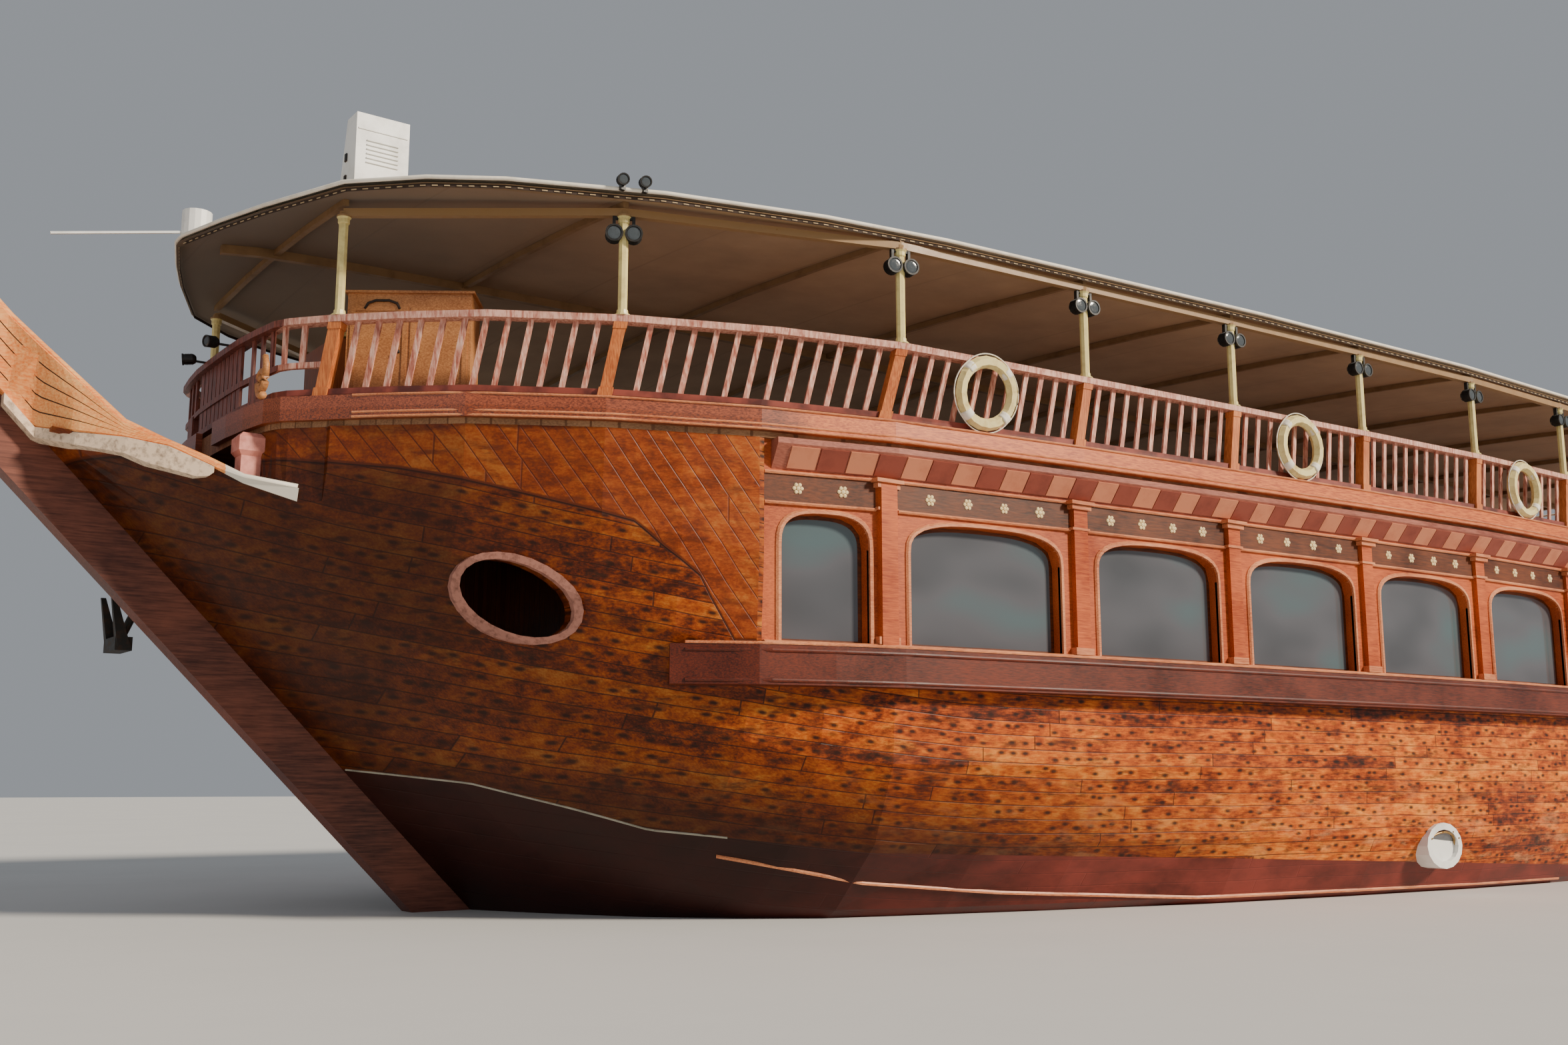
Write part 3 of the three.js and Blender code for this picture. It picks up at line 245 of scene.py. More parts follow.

    # painted shade: the bow below the seam is darkened, and so is the turn of the bilge behind it
    mixed = add("Math", [stain, 3.0, x], operation="MULTIPLY_ADD")
    bowShade = add("MapRange", [mixed, 8.8, 13.4, 0.0, 0.88])
    bowShade = add("Math", [bowShade, add("MapRange", [high, 0.0, 1.0, 1.0, 0.62])], operation="MULTIPLY")
    bilge = add("MapRange", [rise, 0.8, 2.0, 0.88, 0.0])
    bilge = add("Math", [add("MapRange", [mixed, 2.5, 8.0]), bilge], operation="MULTIPLY")
    paintedShade = add("Math", [bowShade, bilge], operation="MAXIMUM")
    # 2A0C00 is the colour of the painted shade on the bow and the bilge
    wood = add("Mix", [paintedShade, wood, "#2A0C00"], data_type="RGBA")

    # red-brown paint below its line, darkened almost to black at the bow as painted shade
    start, end = f["paintReach"]
    edge = [((a - start) / (end - start), b / 2) for a, b in f["paintTop"]]
    below = add("ValToRGB", [add("MapRange", [x, start, end])], edge)
    below = add("Math", [below, 2.0, add("Math", [z, -1.0], operation="MULTIPLY")], operation="MULTIPLY_ADD")
    paint = add("ValToRGB", [stain], [(0.36, "#481A12"), (0.62, "#7E362C")])
    # painted shade on the bottom paint towards the bow
    paint = add("Mix", [add("MapRange", [x, 5.0, 8.5, 0.0, 0.88]), paint, "#1E0C08"], data_type="RGBA")
    colour = add("Mix", [add("MapRange", [below, -0.004, 0.004]), wood, paint], data_type="RGBA")
    gloss = add("MapRange", [stain, 0.3, 0.7, 0.34, 0.62])
    sunk = add("Math", [cracks, -1.0], operation="MULTIPLY")
    height = add("Math", [grain, 0.12, sunk], operation="MULTIPLY_ADD")
    bump = add("Bump", {"Height": height, "Distance": 0.004, "Strength": 0.7})
    shader = add("BsdfPrincipled", {
        "Base Color": colour, "Roughness": gloss, "Normal": bump, "Specular IOR Level": 0.22,
        "Coat Weight": 0.05, "Coat Roughness": 0.3})
    add("OutputMaterial", [shader])
    return material


# Faded rail varnish: the cap painted pale on top as a highlight, balusters pink-brown, foot rail dark
# red-brown
def railVarnish(name="fadedRailVarnish", noseFrom=99.0, stretch=(30.0, 30.0, 5.0)):
    material, add, place = newMaterial(name)
    x, _, z = add("SeparateXYZ", [place]).outputs
    stretched = add("Mapping", {"Vector": place, "Scale": stretch})
    grain = add("TexNoise", {"Vector": stretched, "Scale": 1.0, "Detail": 6.0, "Roughness": 0.65})
    patches = add("TexNoise", {"Vector": place, "Scale": 4.0, "Detail": 4.0})
    colour = add("ValToRGB", [grain], [(0.35, "#9A4A36"), (0.5, "#CC8A74"), (0.68, "#EEC4B0")])
    capHighlight = add("MapRange", [z, 6.028, 6.031])
    onFoot = add("MapRange", [z, 5.351, 5.354, 1.0, 0.0])
    onNose = add("Math", [x, noseFrom], operation="GREATER_THAN")
    # the cap's pale tones are a painted highlight
    for where, noise, stops in ((capHighlight, grain, [(0.35, "#A8604E"), (0.6, "#E2B09C")]),
                                (onFoot, patches, [(0.35, "#521A10"), (0.6, "#904030")]),
                                (onNose, grain, [(0.35, "#4A1E14"), (0.65, "#945040")])):
        colour = add("Mix", [where, colour, add("ValToRGB", [noise], stops)], data_type="RGBA")
    bump = add("Bump", {"Height": grain, "Distance": 0.001, "Strength": 0.4})
    add("OutputMaterial", [add("BsdfPrincipled", {"Base Color": colour, "Roughness": 0.5, "Normal": bump})])
    return material


# Deck edge board: orange varnish, pinker along the bow, where its lower half is as dark as the planking
def fasciaVarnish():
    material, add, place = newMaterial("orangeVarnishedBoard")
    x, _, z = add("SeparateXYZ", [place]).outputs
    stretched = add("Mapping", {"Vector": place, "Scale": (5.0, 80.0, 80.0)})
    grain = add("TexNoise", {"Vector": stretched, "Scale": 1.0, "Detail": 5.0, "Roughness": 0.6})
    orange, bowTone, dark = [add("ValToRGB", [grain], [(0.36, low), (0.62, high)]) for low, high in (
        ("#A84410", "#E27830"), ("#60260F", "#A2502E"), ("#4A1A08", "#96441A"))]
    foreward = add("MapRange", [x, 8.4, 8.8])
    lower = add("MapRange", [z, 5.125, 5.135, 1.0, 0.0])
    colour = add("Mix", [foreward, orange, bowTone], data_type="RGBA")
    shaded = add("Math", [foreward, lower], operation="MULTIPLY")
    colour = add("Mix", [shaded, colour, dark], data_type="RGBA")
    bump = add("Bump", {"Height": grain, "Distance": 0.0012, "Strength": 0.5})
    shader = add("BsdfPrincipled", {
        "Base Color": colour, "Roughness": 0.45, "Normal": bump, "Coat Weight": 0.25, "Coat Roughness": 0.3})
    add("OutputMaterial", [shader])
    return material


# Grey tinted window glass: its grey a painted dim room behind it, its mottling and teal patches painted
# reflections, under a smooth face with a faint sheen
def windowGlass():
    material, add, place = newMaterial("tintedWindowGlass")
    broad = add("Mapping", {"Vector": place, "Scale": (0.9, 0.9, 1.6)})
    roomAndReflections = add("TexNoise", {"Vector": broad, "Scale": 1.0, "Detail": 1.0, "Roughness": 0.3})
    tone = add("ValToRGB", [roomAndReflections], [(0.3, "#4B4D51"), (0.55, "#5A5B60"), (0.75, "#546468")])
    shader = add("BsdfPrincipled", {
        "Base Color": tone, "Roughness": 0.12, "IOR": 1.5, "Coat Weight": 0.6, "Coat Roughness": 0.04})
    add("OutputMaterial", [shader])
    return material


# Acrylic canvas in sewn widths; weave is 8 mm here, as a real 0.5 mm thread wouldn't show
# bow is the colour of painted shade towards the bow
def canvasCloth(name, colour, shade, bow=None):
    seamPitch, thread = 1.5, 785.0  # metres, and radians a metre
    material, add, place = newMaterial(name)
    x, y, _ = add("SeparateXYZ", [place]).outputs
    turns = [add("Math", [way, thread], operation="MULTIPLY") for way in (x, y)]
    weave = add("Math", [add("Math", [turn], operation="SINE") for turn in turns], operation="MULTIPLY")
    panel = add("Math", [x, seamPitch / 2], operation="PINGPONG")
    seam = add("MapRange", [panel, 0.012, 0.02, 1.0, 0.0])
    patches = add("TexNoise", {"Vector": place, "Scale": 0.8, "Detail": 7.0, "Roughness": 0.6})
    worn = add("MapRange", [patches, 0.35, 0.7, 0.0, 0.85])
    tone = add("Mix", [worn, colour, shade], data_type="RGBA")
    tone = add("Mix", [add("Math", [seam, 0.5], operation="MULTIPLY"), tone, shade], data_type="RGBA")
    # painted shade darkens the cloth towards the bow
    if bow:
        tone = add("Mix", [add("MapRange", [x, 8.5, 13.0, 0.0, 0.85]), tone, bow], data_type="RGBA")
    height = add("Math", [weave, 0.15, seam], operation="MULTIPLY_ADD")
    bump = add("Bump", {"Height": height, "Distance": 0.002, "Strength": 0.6})
    shader = add("BsdfPrincipled", {
        "Base Color": tone, "Roughness": 0.85, "Normal": bump, "Sheen Weight": 0.15})
    add("OutputMaterial", [shader])
    return material


hullWood = hullPlanking()
fasciaWood = fasciaVarnish()
glass = windowGlass()
# Teak on the prow's sides, painted bright orange for the sunlight on them: dry, white paint left at the aft
# end
sunlitProwWood = woodFinish("paintedSunlitTeak", "#E47226", "#FFBC74", rough=0.5, grain=0.02, aft=(13.55, "#E4DCCC"))
# Hardwood stem soaked with old oil: nearly black-brown with a dull shine
stemWood = woodFinish("darkOiledTimber", "#401C14", "#7E4838", rough=0.55, grain=0.02)
# Copper-red bottom paint, chalky and matt
bottomPaint = paintFinish("mattBottomPaint", "#6E3A36", "#4C211D", 0.7, 0.5)
# Brushed white oil paint on the guard strake, flaked off in spots down to dark wood
guardPaint = paintFinish("wornGuardPaint", "#E8CDB0", "#4A2C1C", 0.7, 0.06)
# Red-brown varnish on the wale, darker than the planks below it
waleWood = woodFinish("darkVarnishedWale", "#300C04", "#70280C")
# Varnished teak joinery of the gallery: warm, even, fine grain lengthwise
galleryWood = woodFinish("varnishedGallery", "#8A3008", "#CE6428")
# The same joinery as upright matchboards 140 mm wide on the end walls
wallBoards = woodFinish("varnishedMatchboards", "#8A3008", "#C86026", along=2, planks=((0, 1, 0), 0.14))
# Faded red-brown paint on the cornice board behind the chequers
corniceWood = woodFinish("paintedCornice", "#7A3A2C", "#B06A54")
# Bare scrubbed deck planks 120 mm wide: dry, grey-brown, no varnish
deckWood = woodFinish("bareDeckPlanks", "#6E4A32", "#A87C58", rough=0.7, coat=0.0, planks=((0, 1, 0), 0.12))
railWood = railVarnish()
noseWood = railVarnish("noseRailVarnish", noseFrom=13.12)
aftRailWood = railVarnish("aftRailVarnish", stretch=(30.0, 5.0, 30.0))
# Newer orange varnish on the rail's square posts, grain upright
postWood = woodFinish("orangePostVarnish", "#A04A1C", "#E08A4C", along=2, rough=0.5)
# Cream gloss enamel on steel tube, painted brown above 7.15 m as the canopy's shade: smooth, light grime
framePaint = paintFinish("creamGlossEnamel", "#EAD890", "#BCA468", 0.35, 0.12, over=(7.15, "#9A7850"))
# Brown brushed paint on the canopy's wooden beams
beamPaint = paintFinish("brownBeamPaint", "#8A6A46", "#6A5034", 0.6, 0.3)
# Woven acrylic canvas, pale and dusty above, brown below, with painted shade darkening it towards the bow
canvas = canvasCloth("stretchedCanvas", "#E8DCC8", "#BFB09A")
lining = canvasCloth("brownCanvasLining", "#B8946C", "#987650", bow="#4E3C28")
# White tape, dark webbing that also stands for painted shade under the hem, and tan thread sewn round the
# canopy's edge
edgeTrim = paintFinish("whiteEdgeBinding", "#F4ECDC", "#CFC2AC", 0.6, 0.2)
darkTrimAndShade = paintFinish("darkWebbingAndShade", "#3A2A20", "#2A1C14", 0.8, 0.2)
tanThread = paintFinish("tanSailThread", "#B8A07C", "#8A7454", 0.8, 0.05)
# White gel coat over glass fibre: glossy with faint grey streaks of dirt
gelCoat = paintFinish("whiteGelCoat", "#F2F2EE", "#C8C6BC", 0.35, 0.4)
# Cream vinyl over foam rings, yellowed and rubbed; grab line of white polypropylene
ringVinyl = paintFinish("creamRingVinyl", "#EAD898", "#BC9E5C", 0.6, 0.1)
ropeFibre = paintFinish("whiteGrabRope", "#E8E2D0", "#B8AE94", 0.85, 0.03)
# Pinkish oil paint, worn through on the oval rings and brighter on the mooring posts
ovalPaint = paintFinish("pinkWornPaint", "#A46E5E", "#4E281C", 0.6, 0.06)
bittPaint = paintFinish("pinkPostPaint", "#D98A7A", "#A85E50", 0.5, 0.12)
# Brown varnished joinery of helm and doors, grain upright
helmWood = woodFinish("varnishedJoinery", "#6A3014", "#A85A2C", along=2)
# Light plywood of the deck cabinet, thinly varnished
cabinetWood = woodFinish("paleCabinetBoards", "#8A4E24", "#CC8E58", rough=0.55)
# Carved panels stained dark behind cream rosettes
carvedPanel = woodFinish("darkCarvedPanel", "#361604", "#70350E", grain=0.02, coat=0.0)
rosettePaint = paintFinish("creamRosettePaint", "#F0D8A4", "#C8A870", 0.5, 0.05)
# Mouldings faded to pink-orange
mouldingWood = woodFinish("fadedMoulding", "#A85430", "#E49868")
# A thin line of old grey-green paint along the edge of the bottom paint
paintLine = paintFinish("paleWaterlinePaint", "#A8A290", "#5E5A4C", 0.6, 0.2)
# Painted chequers in two faded colours of the same oil paint
blockPale = paintFinish("pinkBlockPaint", "#D08460", "#B0644A", 0.55, 0.3)
blockBrown = paintFinish("brownBlockPaint", "#8E4230", "#6A2E22", 0.55, 0.3)
# Cast aluminium lamps painted black, with dull reflectors behind clear glass
lampBlack = paintFinish("blackLampCasting", "#1C1A18", "#34302C", 0.45, 0.05)
lampGlass = paintFinish("dimLampGlass", "#4A5054", "#34383A", 0.12, 0.05)
# Cast bronze, dulled by salt, and black-painted iron with rust showing through
bronze = paintFinish("dullBronze", "#B08D57", "#6E5430", 0.35, 0.1, 1.0)
iron = paintFinish("blackIron", "#2E2D2C", "#5A4030", 0.6, 0.08, 0.4)

finishes = {
    "hull_timber": hullWood, "prow_timber": sunlitProwWood, "stem_timber": stemWood, "bottom_paint": bottomPaint,
    "guard_paint": guardPaint, "wale_timber": waleWood, "gallery_timber": galleryWood,
    "fascia_timber": fasciaWood, "cornice_paint": corniceWood, "saloon_glass": glass, "deck_planks": deckWood,
    "rail_timber": railWood, "frame_paint": framePaint, "canopy_cloth": canvas, "white_fibreglass": gelCoat,
    "ring_foam": ringVinyl, "oval_paint": ovalPaint, "helm_timber": helmWood, "bronze": bronze, "iron": iron,
}
ownFinish = {
    "bow_rail": noseWood, "aft_rail": aftRailWood, "aft_wall": wallBoards, "forward_bulkhead": wallBoards,
    "canopy_beams": beamPaint, "deck_cabinet": cabinetWood, "bow_bitt_port": bittPaint,
    "bow_bitt_starboard": bittPaint,
}
for part in frame["record"]["subparts"]:
    mesh = nodes[part["node"]].data
    mesh.materials.clear()
    mesh.materials.append(ownFinish.get(part["node"], finishes[part["material_slot"]]))
print("finishes on", len(nodes), "nodes")

# Building small pieces on the frame's surfaces

surfaces = {}


def touch(name, start, aim=(0, -1, 0)):  # where a ray meets a node, and that face's normal
    if name not in surfaces:
        mesh = nodes[name].data
        surfaces[name] = BVHTree.FromPolygons([v.co.copy() for v in mesh.vertices],
                                              [tuple(face.vertices) for face in mesh.polygons])
    return surfaces[name].ray_cast(Vector(start), Vector(aim).normalized())[:2]


def onSide(name, x, z):  # on a node's port side, looked for from 9 m out
    return touch(name, (x, 9, z))[0]


# Points with their directions outward, each moved out by a distance
def outwards(points, out=0.0):
    line = []
    for i, point in enumerate(points):
        run = points[min(i + 1, len(points) - 1)] - points[max(i - 1, 0)]
        side = Vector((-run.y, run.x, 0)).normalized()
        side = side if side.y > 0 or (abs(side.y) < 0.3 and side.x > 0) else -side
        line.append((point + side * out, side))
    return line


def sideLine(name, xs, z):  # along a node's port side at height z, laid flat at z = 0
    points = [onSide(name, x, z) for x in xs]
    return outwards([Vector((p.x, p.y, 0)) for p in points if p is not None])


def joinRings(bm, rings, closed=False):  # walls from ring to ring, with ends unless the last joins the first
    rings = [[bm.verts.new(point) for point in ring] for ring in rings]
    for first, second in zip(rings, rings[1:] + (rings[:1] if closed else [])):
        for quad in zip(first, first[1:] + first[:1], second[1:] + second[:1], second):
            bm.faces.new(quad)
    if not closed:
        bm.faces.new(rings[0])
        bm.faces.new(reversed(rings[-1]))


def sweep(bm, line, section):  # section columns: outward, up
    joinRings(bm, [[p + side * a + up * b for a, b in section] for p, side in line])


def addBox(bm, centre, size, axes=(Vector((1, 0, 0)), Vector((0, 1, 0)), up)):
    a, b, c = [axis * step / 2 for axis, step in zip(axes, size)]
    joinRings(bm, [[Vector(centre) + a * i + b * j + c * k for i, j in ((-1, -1), (1, -1), (1, 1), (-1, 1))]
                   for k in (-1, 1)])


def circle(centre, side, other, radius, count):
    turns = [math.tau * k / count for k in range(count)]
    return [centre + (side * math.cos(t) + other * math.sin(t)) * radius for t in turns]


# Turned shape about an axis, profile columns: along, radius
def addTurned(bm, centre, axis, profile, sides=16):
    axis = Vector(axis).normalized()
    across = axis.orthogonal().normalized()
    joinRings(bm, [circle(Vector(centre) + axis * along, across, axis.cross(across), radius, sides)
                   for along, radius in profile])


def addTube(bm, points, radius, sides=8, closed=False):
    points = [Vector(p) for p in points]
    last = len(points) - 1
    rings = []
    for i, point in enumerate(points):
        before = points[i - 1] if i or closed else point
        after = points[(i + 1) % (last + 1)] if i < last or closed else point
        run = (after - before).normalized()
        side = run.cross(up)
        side = (side if side.length > 0.2 else run.cross(Vector((0, 1, 0)))).normalized()
        rings.append(circle(point, side, side.cross(run), radius, sides))
    joinRings(bm, rings, closed)


# A raised frame of 50 mm boards: two stiles and two rails, on axes across, out and up
def addPanelFrame(bm, centre, between, railLength, tall, deep, axes):
    board = 0.05
    across, _, high = axes
    for sign in (-1, 1):
        addBox(bm, centre + across * (sign * between / 2), (board, deep, tall), axes)
        addBox(bm, centre + high * (sign * (tall - board) / 2), (railLength, deep, board), axes)


def faceOutward(bm):  # each closed shape by the sign of its own volume
    bmesh.ops.recalc_face_normals(bm, faces=bm.faces)
    seen = set()
    for seed in bm.faces:
        if seed in seen:
            continue
        seen.add(seed)
        shape, queue = [], [seed]
        while queue:
            face = queue.pop()
            shape.append(face)
            near = {other for edge in face.edges for other in edge.link_faces} - seen
            seen |= near
            queue += near
        origin = seed.verts[0].co
        volume = 0.0
        for face in shape:
            first, *rest = [vert.co - origin for vert in face.verts]
            volume += sum(first.dot(a.cross(b)) for a, b in zip(rest, rest[1:]))
        if volume < 0:
            bmesh.ops.reverse_faces(bm, faces=shape)


def meshFrom(name, bm):
    mesh = bpy.data.meshes.new(name)
    bm.to_mesh(mesh)
    bm.free()
    return mesh


def linked(name, data):
    made = bpy.data.objects.new(name, data)
    bpy.context.collection.objects.link(made)
    return made


def addPiece(name, mesh, material, body="root", smooth=False):
    mesh.materials.clear()
    mesh.materials.append(material)
    mesh.polygons.foreach_set("use_smooth", [smooth] * len(mesh.polygons))
    piece = linked(name, mesh)
    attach(piece, body)
    return piece


def finishPiece(name, bm, material, body="root", twins=False, smooth=False):  # twins: one on each side
    faceOutward(bm)
    if twins:
        copy = bmesh.ops.duplicate(bm, geom=list(bm.verts) + list(bm.edges) + list(bm.faces))["geom"]
        for vert in copy:
            if isinstance(vert, bmesh.types.BMVert):
                vert.co.y = -vert.co.y
        bmesh.ops.reverse_faces(bm, faces=[face for face in copy if isinstance(face, bmesh.types.BMFace)])
    return addPiece(name, meshFrom(name, bm), material, body, smooth)


# Geometry Nodes: a pattern piece repeated along paths, its X along the path and its Y outward
def repeatAlong(name, paths, pattern, spacing, material):
    faceOutward(pattern)
    model = linked(name + "Pattern", meshFrom(name + "Pattern", pattern))
    line = bpy.data.meshes.new(name + "Path")
    starts = np.cumsum([0] + [len(path) for path in paths])
    edges = [(s + i, s + i + 1) for s, path in zip(starts, paths) for i in range(len(path) - 1)]
    line.from_pydata([tuple(p) for path in paths for p in path], edges, [])
    carrier = linked(name + "Path", line)
    tree = bpy.data.node_groups.new(name + "Tree", "GeometryNodeTree")
    add = partial(addNode, tree)
    tree.interface.new_socket("Geometry", in_out="INPUT", socket_type="NodeSocketGeometry")
    sockets = [tree.interface.new_socket(label, in_out="INPUT", socket_type="NodeSocket" + kind)
               for label, kind in (("Spacing", "Float"), ("Pattern Scale", "Float"), ("Seed", "Int"))]
    tree.interface.new_socket("Geometry", in_out="OUTPUT", socket_type="NodeSocketGeometry")
    given = add("NodeGroupInput").outputs
    curve = add("GeometryNodeMeshToCurve", [given["Geometry"]])
    spots = add("GeometryNodeResampleCurve", {"Curve": curve, "Length": given["Spacing"]}, mode="LENGTH")
    turn = add("FunctionNodeAlignRotationToVector", {"Vector": add("GeometryNodeInputTangent")},
               axis="X", pivot_axis="Z")
    shape = add("GeometryNodeObjectInfo", {"Object": model}).outputs["Geometry"]
    uneven = add("FunctionNodeRandomValue", {2: 0.94, 3: 1.06, "Seed": given["Seed"]}, data_type="FLOAT")
    size = add("Math", [uneven, given["Pattern Scale"]], operation="MULTIPLY")
    placed = add("GeometryNodeInstanceOnPoints", {
        "Points": spots, "Instance": shape, "Rotation": turn, "Scale": size})
    real = add("GeometryNodeRealizeInstances", [placed])
    add("NodeGroupOutput", [add("GeometryNodeSetMaterial", {0: real, "Material": material})])
    modifier = carrier.modifiers.new("repeat", "NODES")
    modifier.node_group = tree
    for socket, value in zip(sockets, (spacing, 1.0, 7)):
        modifier[socket.identifier] = value
    result = bpy.data.meshes.new_from_object(carrier.evaluated_get(bpy.context.evaluated_depsgraph_get()))
    bpy.data.objects.remove(carrier)
    bpy.data.objects.remove(model)
    return addPiece(name, result, material)


def bothSides(points):  # port path aft to bow, starboard path bow to aft
    port = sorted((Vector(p) for p in points), key=lambda p: p.x)
    return [port, [Vector((p.x, -p.y, p.z)) for p in reversed(port)]]


# Camera at the photograph's viewpoint

camera = {"at": (18.0, 17.1, 1.40), "ahead": (-0.590, -0.808), "pitch": 9.65, "lens": 35.63}


def addCamera():
    viewer = linked("photoCamera", bpy.data.cameras.new("photoCamera"))
    viewer.data.lens = camera["lens"]
    viewer.data.sensor_width = 36
    viewer.data.clip_end = 500
    viewer.location = camera["at"]
    pitch = math.radians(camera["pitch"])
    ahead = Vector((*camera["ahead"], 0)).normalized() * math.cos(pitch) + up * math.sin(pitch)
    viewer.rotation_euler = ahead.to_track_quat("-Z", "Y").to_euler()
    bpy.context.scene.camera = viewer


addCamera()

# Canopy: outer cloth over a brown lining, bound in white round its edge, with a sewn dark band below that is
# partly painted shade

canopy = {
    "edge": [(-15.80, 4.52), (-11.90, 4.99), (-7.80, 5.33), (-2.65, 5.44), (1.80, 5.29), (5.15, 5.08),
             (6.90, 4.95), (8.42, 4.73), (10.13, 4.30), (11.62, 3.69), (12.28, 3.27), (12.89, 2.66),
             (13.33, 1.55), (13.56, 0.85), (13.76, 0.12)],  # x, half width
    "low": 7.29, "thick": 0.07, "camber": 0.26, "camberHalf": 5.6, "cloth": 0.003, "sag": 0.02,
    "columns": 28, "step": 0.45, "binding": 0.022, "band": 0.035, "bandThick": 0.006,
    "stitchPitch": 0.12, "stitch": (0.055, 0.006, 0.01),
}
railPosts = [  # columns: foot x, how far the head leans aft, and outward
    (12.84, 0.09, 0.17), (10.525, 0.11, 0.175), (7.605, 0.145, 0.19), (4.91, 0.14, 0.07), (2.355, 0.1, 0.03),
    (-0.205, 0.1, 0.0), (-2.775, 0.13, 0.0), (-5.34, 0.13, 0.0), (-7.9, 0.13, 0.0), (-10.46, 0.13, 0.0),
    (-13.02, 0.13, 0.0), (-15.46, 0.1, 0.0),
]
posts = [row[0] for row in railPosts]


def canopyStations():
    xs = [x for x, _ in canopy["edge"]]
    fine = [xs[0]]
    for a, b in zip(xs, xs[1:]):
        steps = max(1, round((b - a) / canopy["step"]))
        fine += [a + (b - a) * (i + 1) / steps for i in range(steps)]
    return fine


def canopyHalf(x):
    return float(np.interp(x, *zip(*canopy["edge"])))


def canopyHeight(x, share, base, sag):  # arched across, and dipping between the posts
    bay = next((k for k in range(len(posts) - 1) if posts[k + 1] <= x <= posts[k]), None)
    dip = 0.0
    if bay is not None:
        dip = sag * math.sin(math.pi * (x - posts[bay + 1]) / (posts[bay] - posts[bay + 1])) ** 2
    arch = canopy["camber"] * canopyHalf(x) / canopy["camberHalf"]
    return base + arch * (1 - share * share) - dip * (1 - share ** 4)


def canopySheet(name, base, sag, material, inset=0.0):
    bm = bmesh.new()
    columns = canopy["columns"]
    rows = []
    for x in canopyStations():
        half = canopyHalf(x) - inset
        rows.append([bm.verts.new((x, half * s, canopyHeight(x, s, base, sag)))
                     for s in (2 * k / columns - 1 for k in range(columns + 1))])
    for first, second in zip(rows, rows[1:]):
        for quad in zip(first, second, second[1:], first[1:]):
            bm.faces.new(quad)
    area = sum(face.calc_area() for face in bm.faces)
    piece = addPiece(name, meshFrom(name, bm), material, smooth=True)
    thick = piece.modifiers.new("thickness", "SOLIDIFY")
    thick.thickness = canopy["cloth"]
    thick.offset = -1
    return piece, area


def canopyEdge(z, inset=0.0):  # the port edge with its outward directions, aft to bow
    return outwards([Vector((x, canopyHalf(x), z)) for x in canopyStations()], -inset)


def addCanopy():
    c = canopy
    top, topArea = canopySheet("canopyCloth", c["low"] + c["thick"], c["sag"], canvas)
    under, underArea = canopySheet("canopyLining", c["low"] + 0.004, 0.0, lining, 0.03)
    edge, band, stitch = bmesh.new(), bmesh.new(), bmesh.new()
    port = [p for p, _ in canopyEdge(c["low"] + c["thick"] - 0.015, 0.01)]
    addTube(edge, port + [Vector((p.x, -p.y, p.z)) for p in reversed(port)], c["binding"], 8, closed=True)
    tall, thick = c["band"], c["bandThick"]
    sweep(band, canopyEdge(c["low"] - tall, 0.05), [(0, 0), (thick, 0), (thick, tall), (0, tall)])
    addBox(stitch, (0, 0, 0), c["stitch"])
    seam = [p for p, _ in canopyEdge(c["low"] - tall * 0.6, 0.04)]
    binding = finishPiece("canopyBinding", edge, edgeTrim, smooth=True)
    webbingAndShade = finishPiece("canopyBand", band, darkTrimAndShade, twins=True)
    stitches = repeatAlong("canopyStitches", bothSides(seam), stitch, c["stitchPitch"], tanThread)
    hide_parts("canopy")
    print("canopy cloth", round(topArea, 1), "square metres")


addCanopy()

# Gallery: chequered cornice, rosette panels, arched window mouldings, pilaster caps and sill

gallery = {
    "bays": [8.95, 7.54, 4.92, 2.41, -0.13, -2.68, -5.23, -7.78, -10.33, -12.88, -15.30],
    "pilasterHalf": 0.11, "aftEnd": -15.43, "pillar": 0.56, "forePillar": 0.42,
    "sill": 2.85, "spring": 3.85, "crown": 4.20, "bend": 0.7, "steps": 18,
    "moulding": [(0.0, -0.03), (0.0, 0.028), (0.03, 0.028), (0.05, 0.012), (0.05, -0.03)],  # wider, outward
    "sash": [(-0.045, -0.165), (-0.045, -0.12), (0.004, -0.12), (0.004, -0.165)],
    "cap": [(4.55, 0.05, 0.10), (4.60, 0.04, 0.13), (2.90, 0.08, 0.09), (4.30, 0.03, 0.085)],  # z, tall, out
    "panel": (4.29, 4.60), "panelEdge": [(-0.01, 0), (0.03, 0), (0.04, 0.016), (0.03, 0.032), (-0.01, 0.032)],
    "rosettePitch": 0.5, "rosetteRoom": 0.56, "rosette": 0.068,
    "blockRun": (-15.05, 8.7), "block": 0.33, "blockSize": (0.318, 0.016, 0.25),
}


def windowOutline(centre, width, grow):
    g = gallery
    half, rise = width / 2 + grow, g["crown"] - g["spring"] + grow
    points = [(centre - half, g["sill"] - grow), (centre + half, g["sill"] - grow)]
    for i in range(g["steps"] + 1):
        turn = math.pi * i / g["steps"]
        side = math.copysign(abs(math.cos(turn)) ** g["bend"], math.cos(turn))
        points.append((centre + half * side, g["spring"] + rise * math.sin(turn) ** g["bend"]))
    return points


def wallY(x):  # outer face of the saloon's port wall
    hit = onSide("saloon_wall_port", x, 4.80) or onSide("saloon_wall_port", x, 2.82)
    return hit.y if hit else None


def addWindowMouldings():
    g = gallery
    bays = g["bays"][:-1] + [g["aftEnd"]]
    frames, sashes = bmesh.new(), bmesh.new()
    for i, (fore, aft) in enumerate(zip(bays, bays[1:])):
        centre, width = (fore + aft) / 2, fore - aft - (g["pillar"] if i else g["forePillar"])
        for bm, section in ((frames, g["moulding"]), (sashes, g["sash"])):
            joinRings(bm, [[(x, wallY(x) + out, z) for x, z in windowOutline(centre, width, grow)]
                           for grow, out in section], closed=True)
    finishPiece("windowMouldings", frames, mouldingWood, twins=True)
    finishPiece("windowSashes", sashes, carvedPanel, twins=True)


